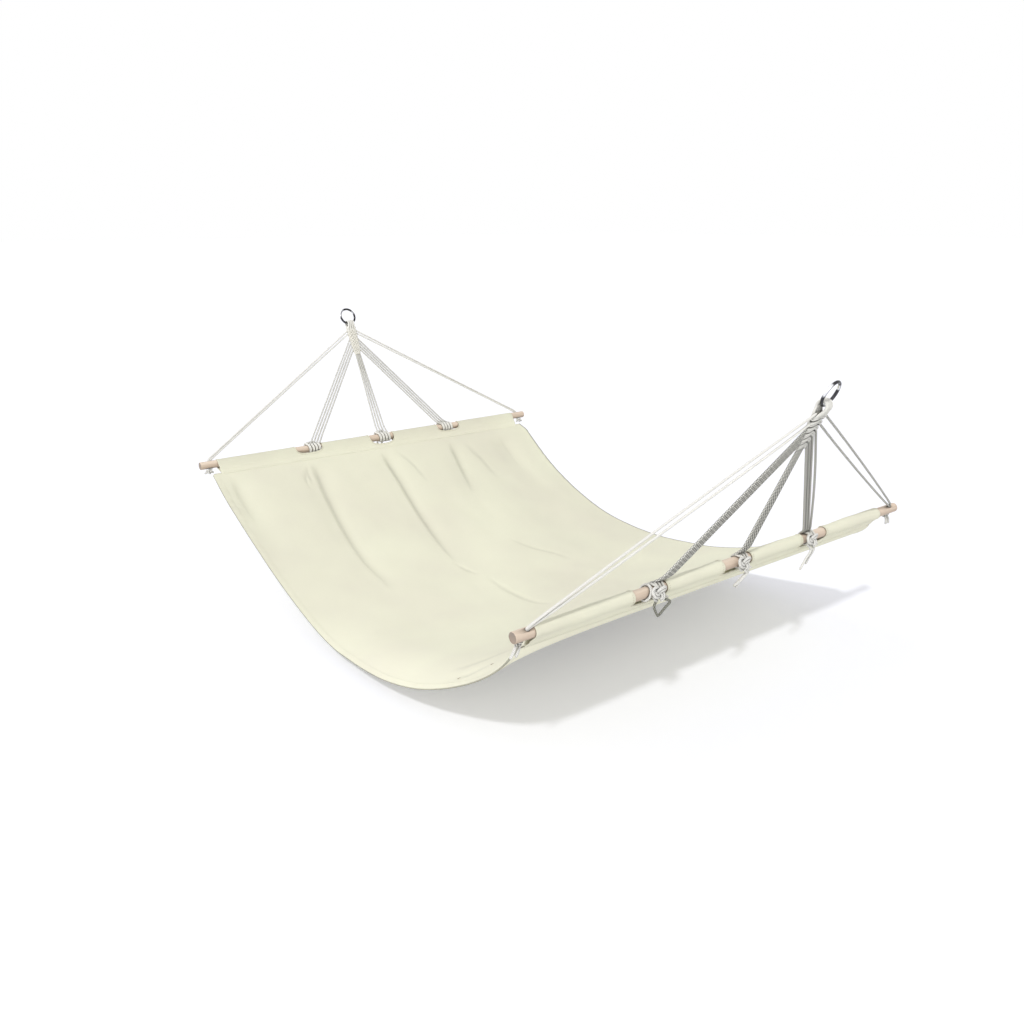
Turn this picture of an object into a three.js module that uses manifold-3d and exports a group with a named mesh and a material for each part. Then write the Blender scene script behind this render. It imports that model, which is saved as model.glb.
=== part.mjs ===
// A two-bar canvas hammock: a cotton bed between two round wooden spreader bars. At each end sixteen
// cotton cords run from the bar to a plaited clew that hangs in a steel ring.
// Millimetres, +Z up, +X from the left ring to the right ring, -Y the front edge of the bed.
// A SIDES or POWER value says how many sides a round body is drawn with and how square its section is.

import * as THREE from 'three';
import { mergeVertices } from 'three/addons/utils/BufferGeometryUtils.js';
import Module from 'manifold-3d';

const wasm = await Module();
wasm.setup();

// Driving dimensions

// Hang: where the bars and rings lie when the hammock is strung up empty
const HALF_SPAN = 854;
const RING_OUT = 205;
const RING_RISE = 439;

// Spreader bars
const BAR_LENGTH = 1400;
const BAR_DIAMETER = 26;
const BAR_CHAMFER = 1.5;
const BAR_SIDES = 24;
const CORD_HOLE_INSET = 34;
const CORD_HOLE_DIAMETER = 12;

// Rings
const RING_MEAN_DIAMETER = 58;
const RING_WIRE = 7.5;
const RING_STEPS = 32;
const RING_WIRE_SIDES = 9;
const LEFT_RING_TURN_DEG = 0;
const RIGHT_RING_TURN_DEG = 7;

// Cords
const CORD_DIAMETER = 6;
const CORD_SIDES = 8;
const TAIL_SIDES = 6;
const END_TAIL_LENGTH = 30;
const GROUP_TAIL_LENGTH = 52;
const GROUP_TAIL_PLACES = [-9, 7];
const GROUP_TAIL_SHARES = [1, 0.8];
const SEAT_SIDES = 16;

// Clew: distances are measured from the ring's centre along the pull
const CLEW_WIDTH = 40;
const CLEW_THICKNESS = 20;
const CLEW_NECK = 48;
const CLEW_TAPER_START = 70;
const CLEW_END = 150;
const CLEW_END_WIDTH = 31;
const CLEW_END_THICKNESS = 12;
const EYE_WIDTH = 28;
const EYE_THICKNESS = 31;
const EYE_TOP = 13.5;
const EYE_HOLE_EASE = 1.12;
const EYE_HOLE_SIDES = 12;
const EYE_HOLE_POWER = 2.6;
const CLEW_SIDES = 14;
const CLEW_POWER = 3.5;
const PAIR_LEAVES = [50, 74];
const GROUP_LEAVES = [84, 98, 112, 126];
const LAST_CORD_SPACING = 6.8;

// Swing of the whole hammock and twist of one end against the other
const SWING_DEG = 25;
const TWIST_DEG = 10;
const EYE_RUNNING_GAP = 0.5;

// Windings round the bar and their knots: places along each bar, and how far aside the knots sit
const LEFT_WINDING_PLACES = [-279, 14, 303];
const RIGHT_WINDING_PLACES = [-289, 8, 282];
const LEFT_KNOT_ASIDE = 0;
const RIGHT_KNOT_ASIDE = -19;
const LEFT_WINDING_PITCH = 12.5;
const RIGHT_WINDING_PITCH = 9.5;
const WINDING_TURNS = 3.5;
const WINDING_STEPS_PER_TURN = 15;
const WINDING_SIDES = 6;
const KNOT_WIDTH = 56;
const KNOT_HEIGHT = 46;
const KNOT_DEPTH = 17;
const KNOT_RIPPLE = 0.07;
const STOPPER_KNOT_WIDTH = 24;
const STOPPER_KNOT_SQUEEZE = 0.8;
const BIGHT_HEIGHT = 11;
const BIGHT_LIFT = 0.6;

// Sleeves sewn round the bars, with three cut-outs each
const CANVAS_LAYER = 1.6;
const LEFT_SLEEVE_FRONT_INSET = 58;
const LEFT_SLEEVE_BACK_INSET = 66;
const RIGHT_SLEEVE_FRONT_INSET = 50;
const RIGHT_SLEEVE_BACK_INSET = 96;
const STITCH_REACH = 46;
const HEM_REACH = 54;
const RIGHT_SLEEVE_SLOPE_DEG = 60;
const SLEEVE_ARC_STEPS = 10;
const SLEEVE_STEPS = 6;
const LEFT_NOTCH_PLACES = [-302, 0, 306];
const RIGHT_NOTCH_PLACES = [-317, -16, 296];
const LEFT_NOTCH_DEPTHS = [28, 38, 28];
const RIGHT_NOTCH_DEPTHS = [28, 28, 28];
const NOTCH_WIDTH = 106;
const NOTCH_CORNER = 20;

// Bed: its front and back edges hang differently. Near the left bar it runs straight across between them.
// Towards the right bar it rolls down along its front edge only, and droops below the hem of the sleeve.
// The gap at its seams leaves room for the right sleeve to turn past the bed's end.
const SEAM_GAP = 0.9;
const BED_INSET = 25;
const BED_THICKNESS = 3;
const BED_STEPS = 21;
const DROOP_STEPS = [18, 42, 80, 130];
const CORNER_FLARE = 0.7;
const FRONT_SAG = 356;
const FRONT_LOW_X = 40;
const FRONT_LEFT_SLOPE_DEG = 31;
const FRONT_RIGHT_SLOPE_DEG = 48;
const BACK_SAG = 318;
const BACK_LOW_X = -30;
const BACK_LEFT_SLOPE_DEG = 42;
const BACK_RIGHT_SLOPE_DEG = 36;
const SIDE_HEM = 20;
const ROLL_REACH = 110;
const ROLL_COLUMNS = [-520, -440];
const DROOP = 55;
const DROOP_REACH = 70;

// Folds that run down the cloth from the cut-outs: where each starts at the left bar, how far it drifts
// to the back and how far it reaches
const FOLD_STARTS = [-614, -314, -26, 280, 520];
const FOLD_DRIFTS = [0, -60, -60, -80, 10];
const FOLD_REACHES = [420, 760, 760, 560, 420];
const FOLD_DEPTH = 14;
const FOLD_WIDTH = 34;

// The gap left between pieces that touch
const GAP = 0.3;

// Worked out from the driving dimensions

const BAR_RADIUS = BAR_DIAMETER / 2;
const CORD_RADIUS = CORD_DIAMETER / 2;
const RING_RADIUS = RING_MEAN_DIAMETER / 2;
const PULL_LENGTH = Math.hypot(RING_OUT, RING_RISE);
const PULL = new THREE.Vector3(RING_OUT, 0, RING_RISE).divideScalar(PULL_LENGTH);
const FACE = new THREE.Vector3(PULL.z, 0, -PULL.x);
const RING_CENTRE = new THREE.Vector3(RING_OUT, 0, RING_RISE);
const WINDING_RADIUS = BAR_RADIUS + GAP + CORD_RADIUS;
const WINDING_OUTSIDE = WINDING_RADIUS + CORD_RADIUS;
const CORD_HOLE_PLACE = BAR_LENGTH / 2 - CORD_HOLE_INSET;
const KNOT_FACE = WINDING_OUTSIDE + GAP;
const BIGHT_PLACE = BAR_RADIUS + CORD_RADIUS * BIGHT_LIFT;
const BED_WIDTH = BAR_LENGTH - 2 * BED_INSET;
const tangent = (degrees) => Math.tan(THREE.MathUtils.degToRad(degrees));
const FRONT_EDGE = { sag: FRONT_SAG, low: FRONT_LOW_X,
  left: tangent(FRONT_LEFT_SLOPE_DEG), right: tangent(FRONT_RIGHT_SLOPE_DEG) };
const BACK_EDGE = { sag: BACK_SAG, low: BACK_LOW_X,
  left: tangent(BACK_LEFT_SLOPE_DEG), right: tangent(BACK_RIGHT_SLOPE_DEG) };

// The places along each bar, with y rising from the front to the back
const ENDS = {
  left: {
    facing: -1,
    ringTurn: LEFT_RING_TURN_DEG,
    windings: LEFT_WINDING_PLACES,
    pitch: LEFT_WINDING_PITCH,
    knotAside: LEFT_KNOT_ASIDE,
    notches: LEFT_NOTCH_PLACES,
    notchDepths: LEFT_NOTCH_DEPTHS,
    sleeve: [LEFT_SLEEVE_FRONT_INSET - BAR_LENGTH / 2, BAR_LENGTH / 2 - LEFT_SLEEVE_BACK_INSET],
  },
  right: {
    facing: 1,
    ringTurn: RIGHT_RING_TURN_DEG,
    windings: RIGHT_WINDING_PLACES,
    pitch: RIGHT_WINDING_PITCH,
    knotAside: RIGHT_KNOT_ASIDE,
    notches: RIGHT_NOTCH_PLACES,
    notchDepths: RIGHT_NOTCH_DEPTHS,
    sleeve: [RIGHT_SLEEVE_FRONT_INSET - BAR_LENGTH / 2, BAR_LENGTH / 2 - RIGHT_SLEEVE_BACK_INSET],
  },
};

const canvas = new THREE.MeshStandardMaterial({ color: 0xe9e6cf, roughness: 0.92, metalness: 0 });
const cotton = new THREE.MeshStandardMaterial({ color: 0xe6e2d8, roughness: 0.9, metalness: 0 });
const wood = new THREE.MeshStandardMaterial({ color: 0xdcb89c, roughness: 0.6, metalness: 0 });
const chrome = new THREE.MeshStandardMaterial({ color: 0xc9ccd0, roughness: 0.15, metalness: 1 });

// Shared geometry helpers

// Leaves only merged positions and makes the faces point out.
function tidy(geometry) {
  const bare = new THREE.BufferGeometry();
  bare.setAttribute('position', geometry.getAttribute('position').clone());
  if (geometry.index) bare.setIndex(geometry.index.clone());
  const merged = mergeVertices(bare, 1e-4);
  if (signedVolume(merged) < 0) {
    const index = merged.index.array;
    for (let i = 0; i < index.length; i += 3) {
      [index[i], index[i + 1]] = [index[i + 1], index[i]];
    }
  }
  return merged;
}

function signedVolume(geometry) {
  const at = geometry.getAttribute('position');
  const [a, b, c] = [new THREE.Vector3(), new THREE.Vector3(), new THREE.Vector3()];
  let volume = 0;
  for (let i = 0; i < geometry.index.count; i += 3) {
    a.fromBufferAttribute(at, geometry.index.getX(i));
    b.fromBufferAttribute(at, geometry.index.getX(i + 1));
    c.fromBufferAttribute(at, geometry.index.getX(i + 2));
    volume += a.dot(b.cross(c)) / 6;
  }
  return volume;
}

function solidOf(geometry) {
  const clean = tidy(geometry);
  return new wasm.Manifold(new wasm.Mesh({
    numProp: 3,
    vertProperties: new Float32Array(clean.getAttribute('position').array),
    triVerts: new Uint32Array(clean.index.array),
  }));
}

function geometryOf(solid) {
  const mesh = solid.getMesh();
  const geometry = new THREE.BufferGeometry();
  geometry.setAttribute('position', new THREE.BufferAttribute(new Float32Array(mesh.vertProperties), 3));
  geometry.setIndex(new THREE.BufferAttribute(new Uint32Array(mesh.triVerts), 1));
  return geometry;
}

function join(...geometries) {
  return geometryOf(geometries.map(solidOf).reduce((a, b) => a.add(b)));
}

function cut(geometry, ...tools) {
  return geometryOf(tools.map(solidOf).reduce((a, b) => a.subtract(b), solidOf(geometry)));
}

// Closes a row of rings, each a list of the same number of points, into one body.
function loft(rings) {
  const count = rings[0].length;
  const points = rings.flat();
  const index = [];
  for (let r = 0; r + 1 < rings.length; r++) {
    for (let k = 0; k < count; k++) {
      const next = (k + 1) % count;
      const [a, b] = [r * count + k, r * count + next];
      index.push(a, b, b + count, a, b + count, a + count);
    }
  }
  const last = (rings.length - 1) * count;
  for (let k = 1; k + 1 < count; k++) {
    index.push(0, k + 1, k, last, last + k, last + k + 1);
  }
  const geometry = new THREE.BufferGeometry().setFromPoints(points);
  geometry.setIndex(index);
  return tidy(geometry);
}

function polygon(radius, sides) {
  const shape = new THREE.Shape();
  for (let k = 0; k < sides; k++) {
    const angle = (2 * Math.PI * k) / sides;
    const [x, y] = [radius * Math.cos(angle), radius * Math.sin(angle)];
    if (k === 0) shape.moveTo(x, y);
    else shape.lineTo(x, y);
  }
  return shape;
}

function tube(path, radius, sides, steps) {
  return new THREE.ExtrudeGeometry(polygon(radius, sides), { steps, extrudePath: path });
}

function straightTube(from, to, radius, sides = CORD_SIDES, steps = 1) {
  return tube(new THREE.LineCurve3(from, to), radius, sides, steps);
}

function bentTube(points, radius, sides, steps) {
  return tube(new THREE.CatmullRomCurve3(points), radius, sides, steps);
}

// Turns a profile drawn in (x, z) into a bar along Y, centred on y = middle.
function alongY(shape, length, middle = 0, steps = 1) {
  const run = { depth: length, steps, bevelEnabled: false, curveSegments: 8 };
  const geometry = new THREE.ExtrudeGeometry(shape, run);
  const turn = new THREE.Matrix4().makeBasis(
    new THREE.Vector3(1, 0, 0), new THREE.Vector3(0, 0, 1), new THREE.Vector3(0, -1, 0));
  return geometry.applyMatrix4(turn).translate(0, middle + length / 2, 0);
}

function ellipsoid(centre, radii, across = 10, down = 6) {
  return new THREE.SphereGeometry(1, across, down).scale(...radii).translate(...centre);
}

// One end, drawn with its bar's axis on Y through the origin and its ring towards +X

// A point of the fan: distance down the pull from the ring's centre, place across, place out of the fan.
function inFan(down, across, out = 0) {
  return RING_CENTRE.clone().addScaledVector(PULL, -down).addScaledVector(FACE, out)
    .add(new THREE.Vector3(0, across, 0));
}

// Which way a ring faces across the fan: it is turned about the pull.
function ringSide(turnDegrees) {
  return new THREE.Vector3(0, 1, 0).applyAxisAngle(PULL, THREE.MathUtils.degToRad(turnDegrees));
}

function ring(turnDegrees) {
  const side = ringSide(turnDegrees);
  const turn = new THREE.Matrix4().makeBasis(side, PULL, side.clone().cross(PULL));
  return new THREE.TorusGeometry(RING_RADIUS, RING_WIRE / 2, RING_WIRE_SIDES, RING_STEPS)
    .applyMatrix4(turn).translate(...RING_CENTRE);
}

// The room that the ring's wire sweeps in the clew's eye at one place across, over all swing and twist.
function eyeRoom(across, ringTurn) {
  const reach = THREE.MathUtils.degToRad(SWING_DEG + TWIST_DEG);
  const room = { near: Infinity, far: -Infinity, half: 0 };
  const axis = new THREE.Vector3(1, 0, 0);
  const side = ringSide(ringTurn);
  for (let turn = -reach; turn <= reach + 1e-6; turn += reach / 10) {
    for (let arc = -Math.PI / 2; arc <= Math.PI / 2; arc += Math.PI / 90) {
      const at = PULL.clone().multiplyScalar(-RING_RADIUS * Math.cos(arc))
        .addScaledVector(side, RING_RADIUS * Math.sin(arc)).applyAxisAngle(axis, turn);
      if (Math.abs(at.y - across) < 1) {
        room.near = Math.min(room.near, -at.dot(PULL));
        room.far = Math.max(room.far, -at.dot(PULL));
        room.half = Math.max(room.half, Math.abs(at.dot(FACE)));
      }
    }
  }
  const wire = RING_WIRE / 2 + EYE_RUNNING_GAP;
  return { near: room.near - wire, far: room.far + wire, half: room.half + wire };
}

function eyeHole(ringTurn) {
  const reach = EYE_WIDTH / 2 + 2;
  const places = [-1, -0.5, 0, 0.5, 1].map((part) => part * reach);
  return loft(places.map((across) => {
    const room = eyeRoom(across, ringTurn);
    const [middle, half] = [(room.near + room.far) / 2, (room.far - room.near) / 2];
    return superellipse(EYE_HOLE_SIDES, half * EYE_HOLE_EASE, room.half * EYE_HOLE_EASE, EYE_HOLE_POWER)
      .map(([down, out]) => inFan(middle + down, across, out));
  }));
}

function superellipse(count, halfA, halfB, power) {
  return Array.from({ length: count }, (_, k) => {
    const angle = (2 * Math.PI * (k + 0.5)) / count;
    const [c, s] = [Math.cos(angle), Math.sin(angle)];
    const scale = (Math.abs(c) ** power + Math.abs(s) ** power) ** (-1 / power);
    return [halfA * c * scale, halfB * s * scale];
  });
}

// Half the clew's width and thickness at a distance from the ring's centre.
const CLEW_SECTIONS = [
  [EYE_TOP, EYE_WIDTH * 0.3, EYE_THICKNESS * 0.2],
  [EYE_TOP + 2.5, EYE_WIDTH * 0.46, EYE_THICKNESS * 0.4],
  [EYE_TOP + 7, EYE_WIDTH / 2, EYE_THICKNESS / 2],
  [RING_RADIUS + RING_WIRE, EYE_WIDTH / 2, EYE_THICKNESS / 2 - 1],
  [CLEW_NECK, CLEW_WIDTH / 2, CLEW_THICKNESS / 2],
  [CLEW_TAPER_START, CLEW_WIDTH / 2, CLEW_THICKNESS / 2],
  [CLEW_END - 8, CLEW_END_WIDTH / 2, CLEW_END_THICKNESS / 2],
  [CLEW_END, CLEW_END_WIDTH / 2 - 1, CLEW_END_THICKNESS / 2 - 1],
];

function clewBody(grow = 0) {
  const last = CLEW_SECTIONS.length - 1;
  return loft(CLEW_SECTIONS.map(([down, halfWidth, halfThickness], k) => {
    const along = down + (k === last ? grow : 0) - (k === 0 ? grow : 0);
    return superellipse(CLEW_SIDES, halfThickness + grow, halfWidth + grow, CLEW_POWER)
      .map(([out, across]) => inFan(along, across, out));
  }));
}

function clewHalfWidth(down) {
  const k = CLEW_SECTIONS.findIndex(([place]) => place > down);
  const [a, b] = [CLEW_SECTIONS[k - 1], CLEW_SECTIONS[k]];
  return a[1] + ((b[1] - a[1]) * (down - a[0])) / (b[0] - a[0]);
}

function spreaderBar() {
  const half = BAR_LENGTH / 2;
  const profile = [[0, -half], [BAR_RADIUS - BAR_CHAMFER, -half], [BAR_RADIUS, -half + BAR_CHAMFER],
    [BAR_RADIUS, half - BAR_CHAMFER], [BAR_RADIUS - BAR_CHAMFER, half], [0, half]];
  const dowel = new THREE.LatheGeometry(profile.map(([r, y]) => new THREE.Vector2(r, y)), BAR_SIDES);
  const holes = [-1, 1].map((side) => cordHole(side, CORD_HOLE_DIAMETER / 2, BAR_DIAMETER));
  return cut(dowel, ...holes);
}

// A straight cylinder through the bar along the pull, where the end cords pass.
function cordHole(side, radius, highest, lowest = -highest) {
  return straightTube(onHoleLine(side, lowest), onHoleLine(side, highest), radius, 10);
}

// The end cords squeezed together: a bight over the hole, a neck through it, a knot and two tails beneath.
// The tails hang nearly straight, and lean towards the bar's tip so that they stay clear of the bed's corner.
function stopperKnot(side) {
  const knotRadius = STOPPER_KNOT_WIDTH / 2;
  const knotHeight = knotRadius * STOPPER_KNOT_SQUEEZE;
  const knotPlace = -(BAR_RADIUS + knotHeight);
  const neck = cordHole(side, CORD_HOLE_DIAMETER / 2 - GAP, BIGHT_PLACE, knotPlace);
  const knot = ellipsoid(onHoleLine(side, knotPlace), [knotHeight, knotRadius, knotHeight]);
  const barRoom = polygon(BAR_RADIUS + 2 * GAP, SEAT_SIDES);
  const bar = alongY(barRoom, STOPPER_KNOT_WIDTH * 2, side * CORD_HOLE_PLACE);
  const tails = [-1, 1].map((way) => {
    const top = onHoleLine(side, knotPlace);
    const at = (drop, across, inward) => top.clone().add(new THREE.Vector3(-inward, across, -drop));
    return bentTube([
      at(0, way * 4, 0),
      at(END_TAIL_LENGTH * 0.5, way * 6 + side * 2, 1),
      at(END_TAIL_LENGTH, way * 4 + side * 6, 5),
    ], CORD_RADIUS, TAIL_SIDES, 4);
  });
  return join(neck, cut(join(bight(side), knot), bar), ...tails);
}

function onHoleLine(side, height) {
  return PULL.clone().multiplyScalar(height).add(new THREE.Vector3(0, side * CORD_HOLE_PLACE, 0));
}

// The rounded top of an end pair, where its two cords meet over the hole.
function bight(side, grow = 0) {
  const radii = [CORD_DIAMETER + grow, CORD_DIAMETER + grow, BIGHT_HEIGHT / 2 + grow];
  return ellipsoid(onHoleLine(side, BIGHT_PLACE), radii, 8, 6);
}

// Winding: from the knot over the top of the bar, round it, and back to the knot from beneath.
class WindingPath extends THREE.Curve {
  constructor(middle, pitch) {
    super();
    this.pitch = pitch;
    this.first = middle - (pitch * WINDING_TURNS) / 2;
    this.stub = KNOT_FACE - GAP;
    this.round = WINDING_TURNS * Math.hypot(2 * Math.PI * WINDING_RADIUS, pitch);
  }

  getPoint(t, target = new THREE.Vector3()) {
    const run = t * (2 * this.stub + this.round);
    const turns = (THREE.MathUtils.clamp(run - this.stub, 0, this.round) / this.round) * WINDING_TURNS;
    const angle = Math.PI / 2 + turns * 2 * Math.PI;
    const outward = Math.max(this.stub - run, 0) + Math.max(run - this.stub - this.round, 0);
    return target.set(WINDING_RADIUS * Math.cos(angle) + outward,
      this.first + this.pitch * turns, WINDING_RADIUS * Math.sin(angle));
  }

  get steps() {
    const step = this.round / (WINDING_TURNS * WINDING_STEPS_PER_TURN);
    return Math.round((2 * this.stub + this.round) / step);
  }
}

// The least gap between two stretches of a winding that lie more than a third of a turn apart.
function leastGapToItself(path) {
  const points = path.getSpacedPoints(path.steps);
  const apart = Math.ceil(WINDING_STEPS_PER_TURN / 3);
  let least = Infinity;
  for (let i = 0; i < points.length; i++) {
    for (let k = i + apart; k < points.length; k++) {
      least = Math.min(least, points[i].distanceTo(points[k]));
    }
  }
  return least - CORD_DIAMETER;
}

function winding(middle, pitch, radius = CORD_RADIUS) {
  const path = new WindingPath(middle, pitch);
  return tube(path, radius, WINDING_SIDES, path.steps);
}

// A lumpy hitch against the outer side of the winding, with two tails that hang from it.
function groupKnot(winding, aside) {
  const middle = winding + aside;
  const lump = new THREE.SphereGeometry(1, 14, 9);
  const at = lump.getAttribute('position');
  for (let k = 0; k < at.count; k++) {
    const [x, y, z] = [at.getX(k), at.getY(k), at.getZ(k)];
    const ripple = 1 + KNOT_RIPPLE * Math.cos(7 * y + 3 * z) * Math.max(x, 0);
    at.setXYZ(k, x * ripple, y * ripple, z * ripple);
  }
  lump.scale(KNOT_DEPTH, KNOT_WIDTH / 2, KNOT_HEIGHT / 2).translate(KNOT_FACE, middle, 0);
  const behind = new THREE.BoxGeometry(2 * KNOT_DEPTH, 2 * KNOT_WIDTH, 2 * KNOT_HEIGHT)
    .translate(KNOT_FACE - KNOT_DEPTH, middle, 0);
  const top = new THREE.Vector3(KNOT_FACE + KNOT_DEPTH / 2, middle, -KNOT_HEIGHT * 0.3);
  const tails = GROUP_TAIL_PLACES.map((across, k) => {
    const drop = GROUP_TAIL_LENGTH * GROUP_TAIL_SHARES[k];
    const bend = (outward, spread, aside, down) => top.clone()
      .add(new THREE.Vector3(outward, across * spread + aside, -drop * down));
    return bentTube([bend(0, 1, 0, 0), bend(5, 1.1, 0, 0.4), bend(4, 0.8, -4, 0.75), bend(-2, 0.5, -9, 1)],
      CORD_RADIUS, TAIL_SIDES, 6);
  });
  return join(cut(lump, behind), ...tails);
}

// Cords of the fan

function seatedCord(from, to, seats) {
  return cut(straightTube(from, to, CORD_RADIUS), ...seats);
}

// Two cords of an end pair run to the bight on the bar's end, one above the other.
function endPair(side, clewSeat) {
  const mouth = onHoleLine(side, BIGHT_PLACE);
  const bar = alongY(polygon(BAR_RADIUS + GAP, SEAT_SIDES), BAR_DIAMETER * 4, side * CORD_HOLE_PLACE);
  return PAIR_LEAVES.map((leaves, k) => {
    const from = inFan(leaves, side * (clewHalfWidth(leaves) - CORD_DIAMETER));
    const run = mouth.clone().sub(from).normalize();
    const aside = new THREE.Vector3().crossVectors(run, FACE).normalize();
    if (aside.y * side < 0) aside.negate();
    const shift = (k === 0 ? 1 : -1) * (CORD_RADIUS + GAP);
    const to = mouth.clone().addScaledVector(aside, shift);
    return seatedCord(from, to, [clewSeat, bight(side, GAP), bar]);
  });
}

// Four cords of a group run to the turns of one winding.
function groupCords(middle, side, pitch, clewSeat) {
  const turnsSeat = alongY(polygon(WINDING_OUTSIDE + GAP, SEAT_SIDES), pitch * 8, middle);
  const windingSeat = winding(middle, pitch, CORD_RADIUS + GAP);
  return GROUP_LEAVES.map((leaves, k) => {
    const order = side > 0 ? 1.5 - k : k - 1.5;
    const from = side === 0
      ? inFan(CLEW_END - CORD_DIAMETER, order * LAST_CORD_SPACING)
      : inFan(leaves, side * (clewHalfWidth(leaves) - CORD_DIAMETER));
    const to = new THREE.Vector3(0, middle + order * pitch, 0);
    return seatedCord(from, to, [clewSeat, turnsSeat, windingSeat]);
  });
}

// Sleeve

// How steeply a sleeve hangs from its bar at a place across the bed, as an angle below level.
function clothAngle(end, y) {
  if (end === 'right') return THREE.MathUtils.degToRad(RIGHT_SLEEVE_SLOPE_DEG);
  return Math.atan(THREE.MathUtils.lerp(FRONT_EDGE[end], BACK_EDGE[end], y / BED_WIDTH + 0.5));
}

// The cloth folded over the bar and sewn to itself, drawn across the bar, run along it and turned
// about the bar to follow the bed.
function sleeve(end) {
  const slope = clothAngle(end, 0);
  const down = new THREE.Vector2(-Math.cos(slope), -Math.sin(slope));
  const over = new THREE.Vector2(Math.sin(slope), -Math.cos(slope));
  const at = (along, across) => down.clone().multiplyScalar(along).addScaledVector(over, across);
  const roundBar = (radius, reach, half) => {
    const lean = Math.asin((radius - half) / reach);
    return Array.from({ length: SLEEVE_ARC_STEPS + 1 }, (_, k) => {
      const turn = Math.PI / 2 - lean + ((Math.PI + 2 * lean) * k) / SLEEVE_ARC_STEPS;
      return at(radius * Math.cos(turn), radius * Math.sin(turn));
    });
  };
  const hemEnd = (across) => {
    const corner = at(HEM_REACH, across);
    return corner.addScaledVector(down, HEM_REACH - corner.x / down.x);
  };
  const outside = roundBar(BAR_RADIUS + GAP + CANVAS_LAYER, STITCH_REACH, CANVAS_LAYER);
  outside.push(at(STITCH_REACH, -CANVAS_LAYER), hemEnd(-CANVAS_LAYER));
  outside.push(hemEnd(CANVAS_LAYER), at(STITCH_REACH, CANVAS_LAYER));
  const tunnelEnd = STITCH_REACH - 3 * CANVAS_LAYER;
  const tunnel = roundBar(BAR_RADIUS + GAP, tunnelEnd, GAP);
  tunnel.push(at(tunnelEnd, -GAP), at(tunnelEnd, GAP));
  const shape = new THREE.Shape(outside);
  shape.holes.push(new THREE.Path(tunnel));
  const [front, back] = ENDS[end].sleeve;
  const turned = alongY(shape, back - front, (back + front) / 2, SLEEVE_STEPS);
  const place = turned.getAttribute('position');
  for (let k = 0; k < place.count; k++) {
    const [x, y, z] = [place.getX(k), place.getY(k), place.getZ(k)];
    const turn = clothAngle(end, y) - slope;
    const [c, s] = [Math.cos(turn), Math.sin(turn)];
    place.setXYZ(k, x * c - z * s, y, x * s + z * c);
  }
  const { notches, notchDepths } = ENDS[end];
  return cut(turned, ...notches.map((middle, k) => notch(middle, notchDepths[k], slope)));
}

// The cutter of one cut-out: straight sides past the bar, then rounded corners.
function notch(middle, reach, slope) {
  const half = NOTCH_WIDTH / 2;
  const shape = new THREE.Shape();
  shape.moveTo(-half, -2 * BAR_RADIUS);
  shape.lineTo(-half, reach - NOTCH_CORNER);
  shape.quadraticCurveTo(-half, reach, -half + NOTCH_CORNER, reach);
  shape.lineTo(half - NOTCH_CORNER, reach);
  shape.quadraticCurveTo(half, reach, half, reach - NOTCH_CORNER);
  shape.lineTo(half, -2 * BAR_RADIUS);
  const depth = 4 * BAR_RADIUS;
  const down = new THREE.Vector3(-Math.cos(slope), 0, -Math.sin(slope));
  const across = new THREE.Vector3(0, 1, 0);
  const turn = new THREE.Matrix4().makeBasis(across, down, across.clone().cross(down));
  return new THREE.ExtrudeGeometry(shape, { depth, bevelEnabled: false, curveSegments: 3 })
    .translate(0, 0, -depth / 2).applyMatrix4(turn).translate(0, middle, 0);
}

// Bed

// Height of one edge below the bars at a distance x from the middle.
function edgeHeight({ sag, low, left, right }, x) {
  const [arm, slope] = x < low ? [HALF_SPAN + low, left] : [HALF_SPAN - low, right];
  const power = (slope * arm) / sag;
  return -sag * (1 - (Math.abs(x - low) / arm) ** power);
}

// Height of the cloth before its droop: the front edge's shape reaches across it near the left bar, and
// only as far as its roll near the right bar.
function hungHeight(x, y) {
  const roll = Math.exp(-(y + BED_WIDTH / 2) / ROLL_REACH);
  const rightness = (x / HALF_SPAN + 1) / 2;
  const front = (0.5 - y / BED_WIDTH) * THREE.MathUtils.lerp(1, roll, rightness);
  return THREE.MathUtils.lerp(edgeHeight(BACK_EDGE, x), edgeHeight(FRONT_EDGE, x), front);
}

// The bed starts at the hem of the right sleeve and droops from there before it follows its hung shape.
function bedHeight(x, y) {
  const start = bedEnd('right', y);
  const hemDrop = (HALF_SPAN - start) * Math.tan(clothAngle('right', y));
  const inward = Math.max(0, start - x) / DROOP_REACH;
  const droop = (hemDrop + hungHeight(start, y) + DROOP * inward) * Math.exp(-inward);
  return hungHeight(x, y) - droop;
}

// Where the bed meets a sleeve's hem at a place across it.
function bedEnd(end, y) {
  return HALF_SPAN - HEM_REACH * Math.cos(clothAngle(end, y)) - SEAM_GAP;
}

const FOLDS = FOLD_STARTS.map((start, k) => ({ start, drift: FOLD_DRIFTS[k], reach: FOLD_REACHES[k] }));

function foldDepth(x, y) {
  const along = x + HALF_SPAN;
  return FOLDS.reduce((sum, { start, drift, reach }) => {
    const fade = Math.max(0, 1 - along / reach);
    const middle = start + (drift * along) / reach;
    return sum + FOLD_DEPTH * fade * Math.exp(-(((y - middle) / (FOLD_WIDTH / 2)) ** 2));
  }, 0);
}

// The share of its full half width that the bed has at a place: its corners are drawn in to the sleeves.
function widthShare(x, y) {
  const reach = Object.values(ENDS).map(({ facing, sleeve: [front, back] }) => {
    const end = Math.abs(y < 0 ? front : back);
    return end + CORNER_FLARE * (HALF_SPAN - facing * x);
  });
  return Math.min(1, ...reach.map((half) => half / (BED_WIDTH / 2)));
}

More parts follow.
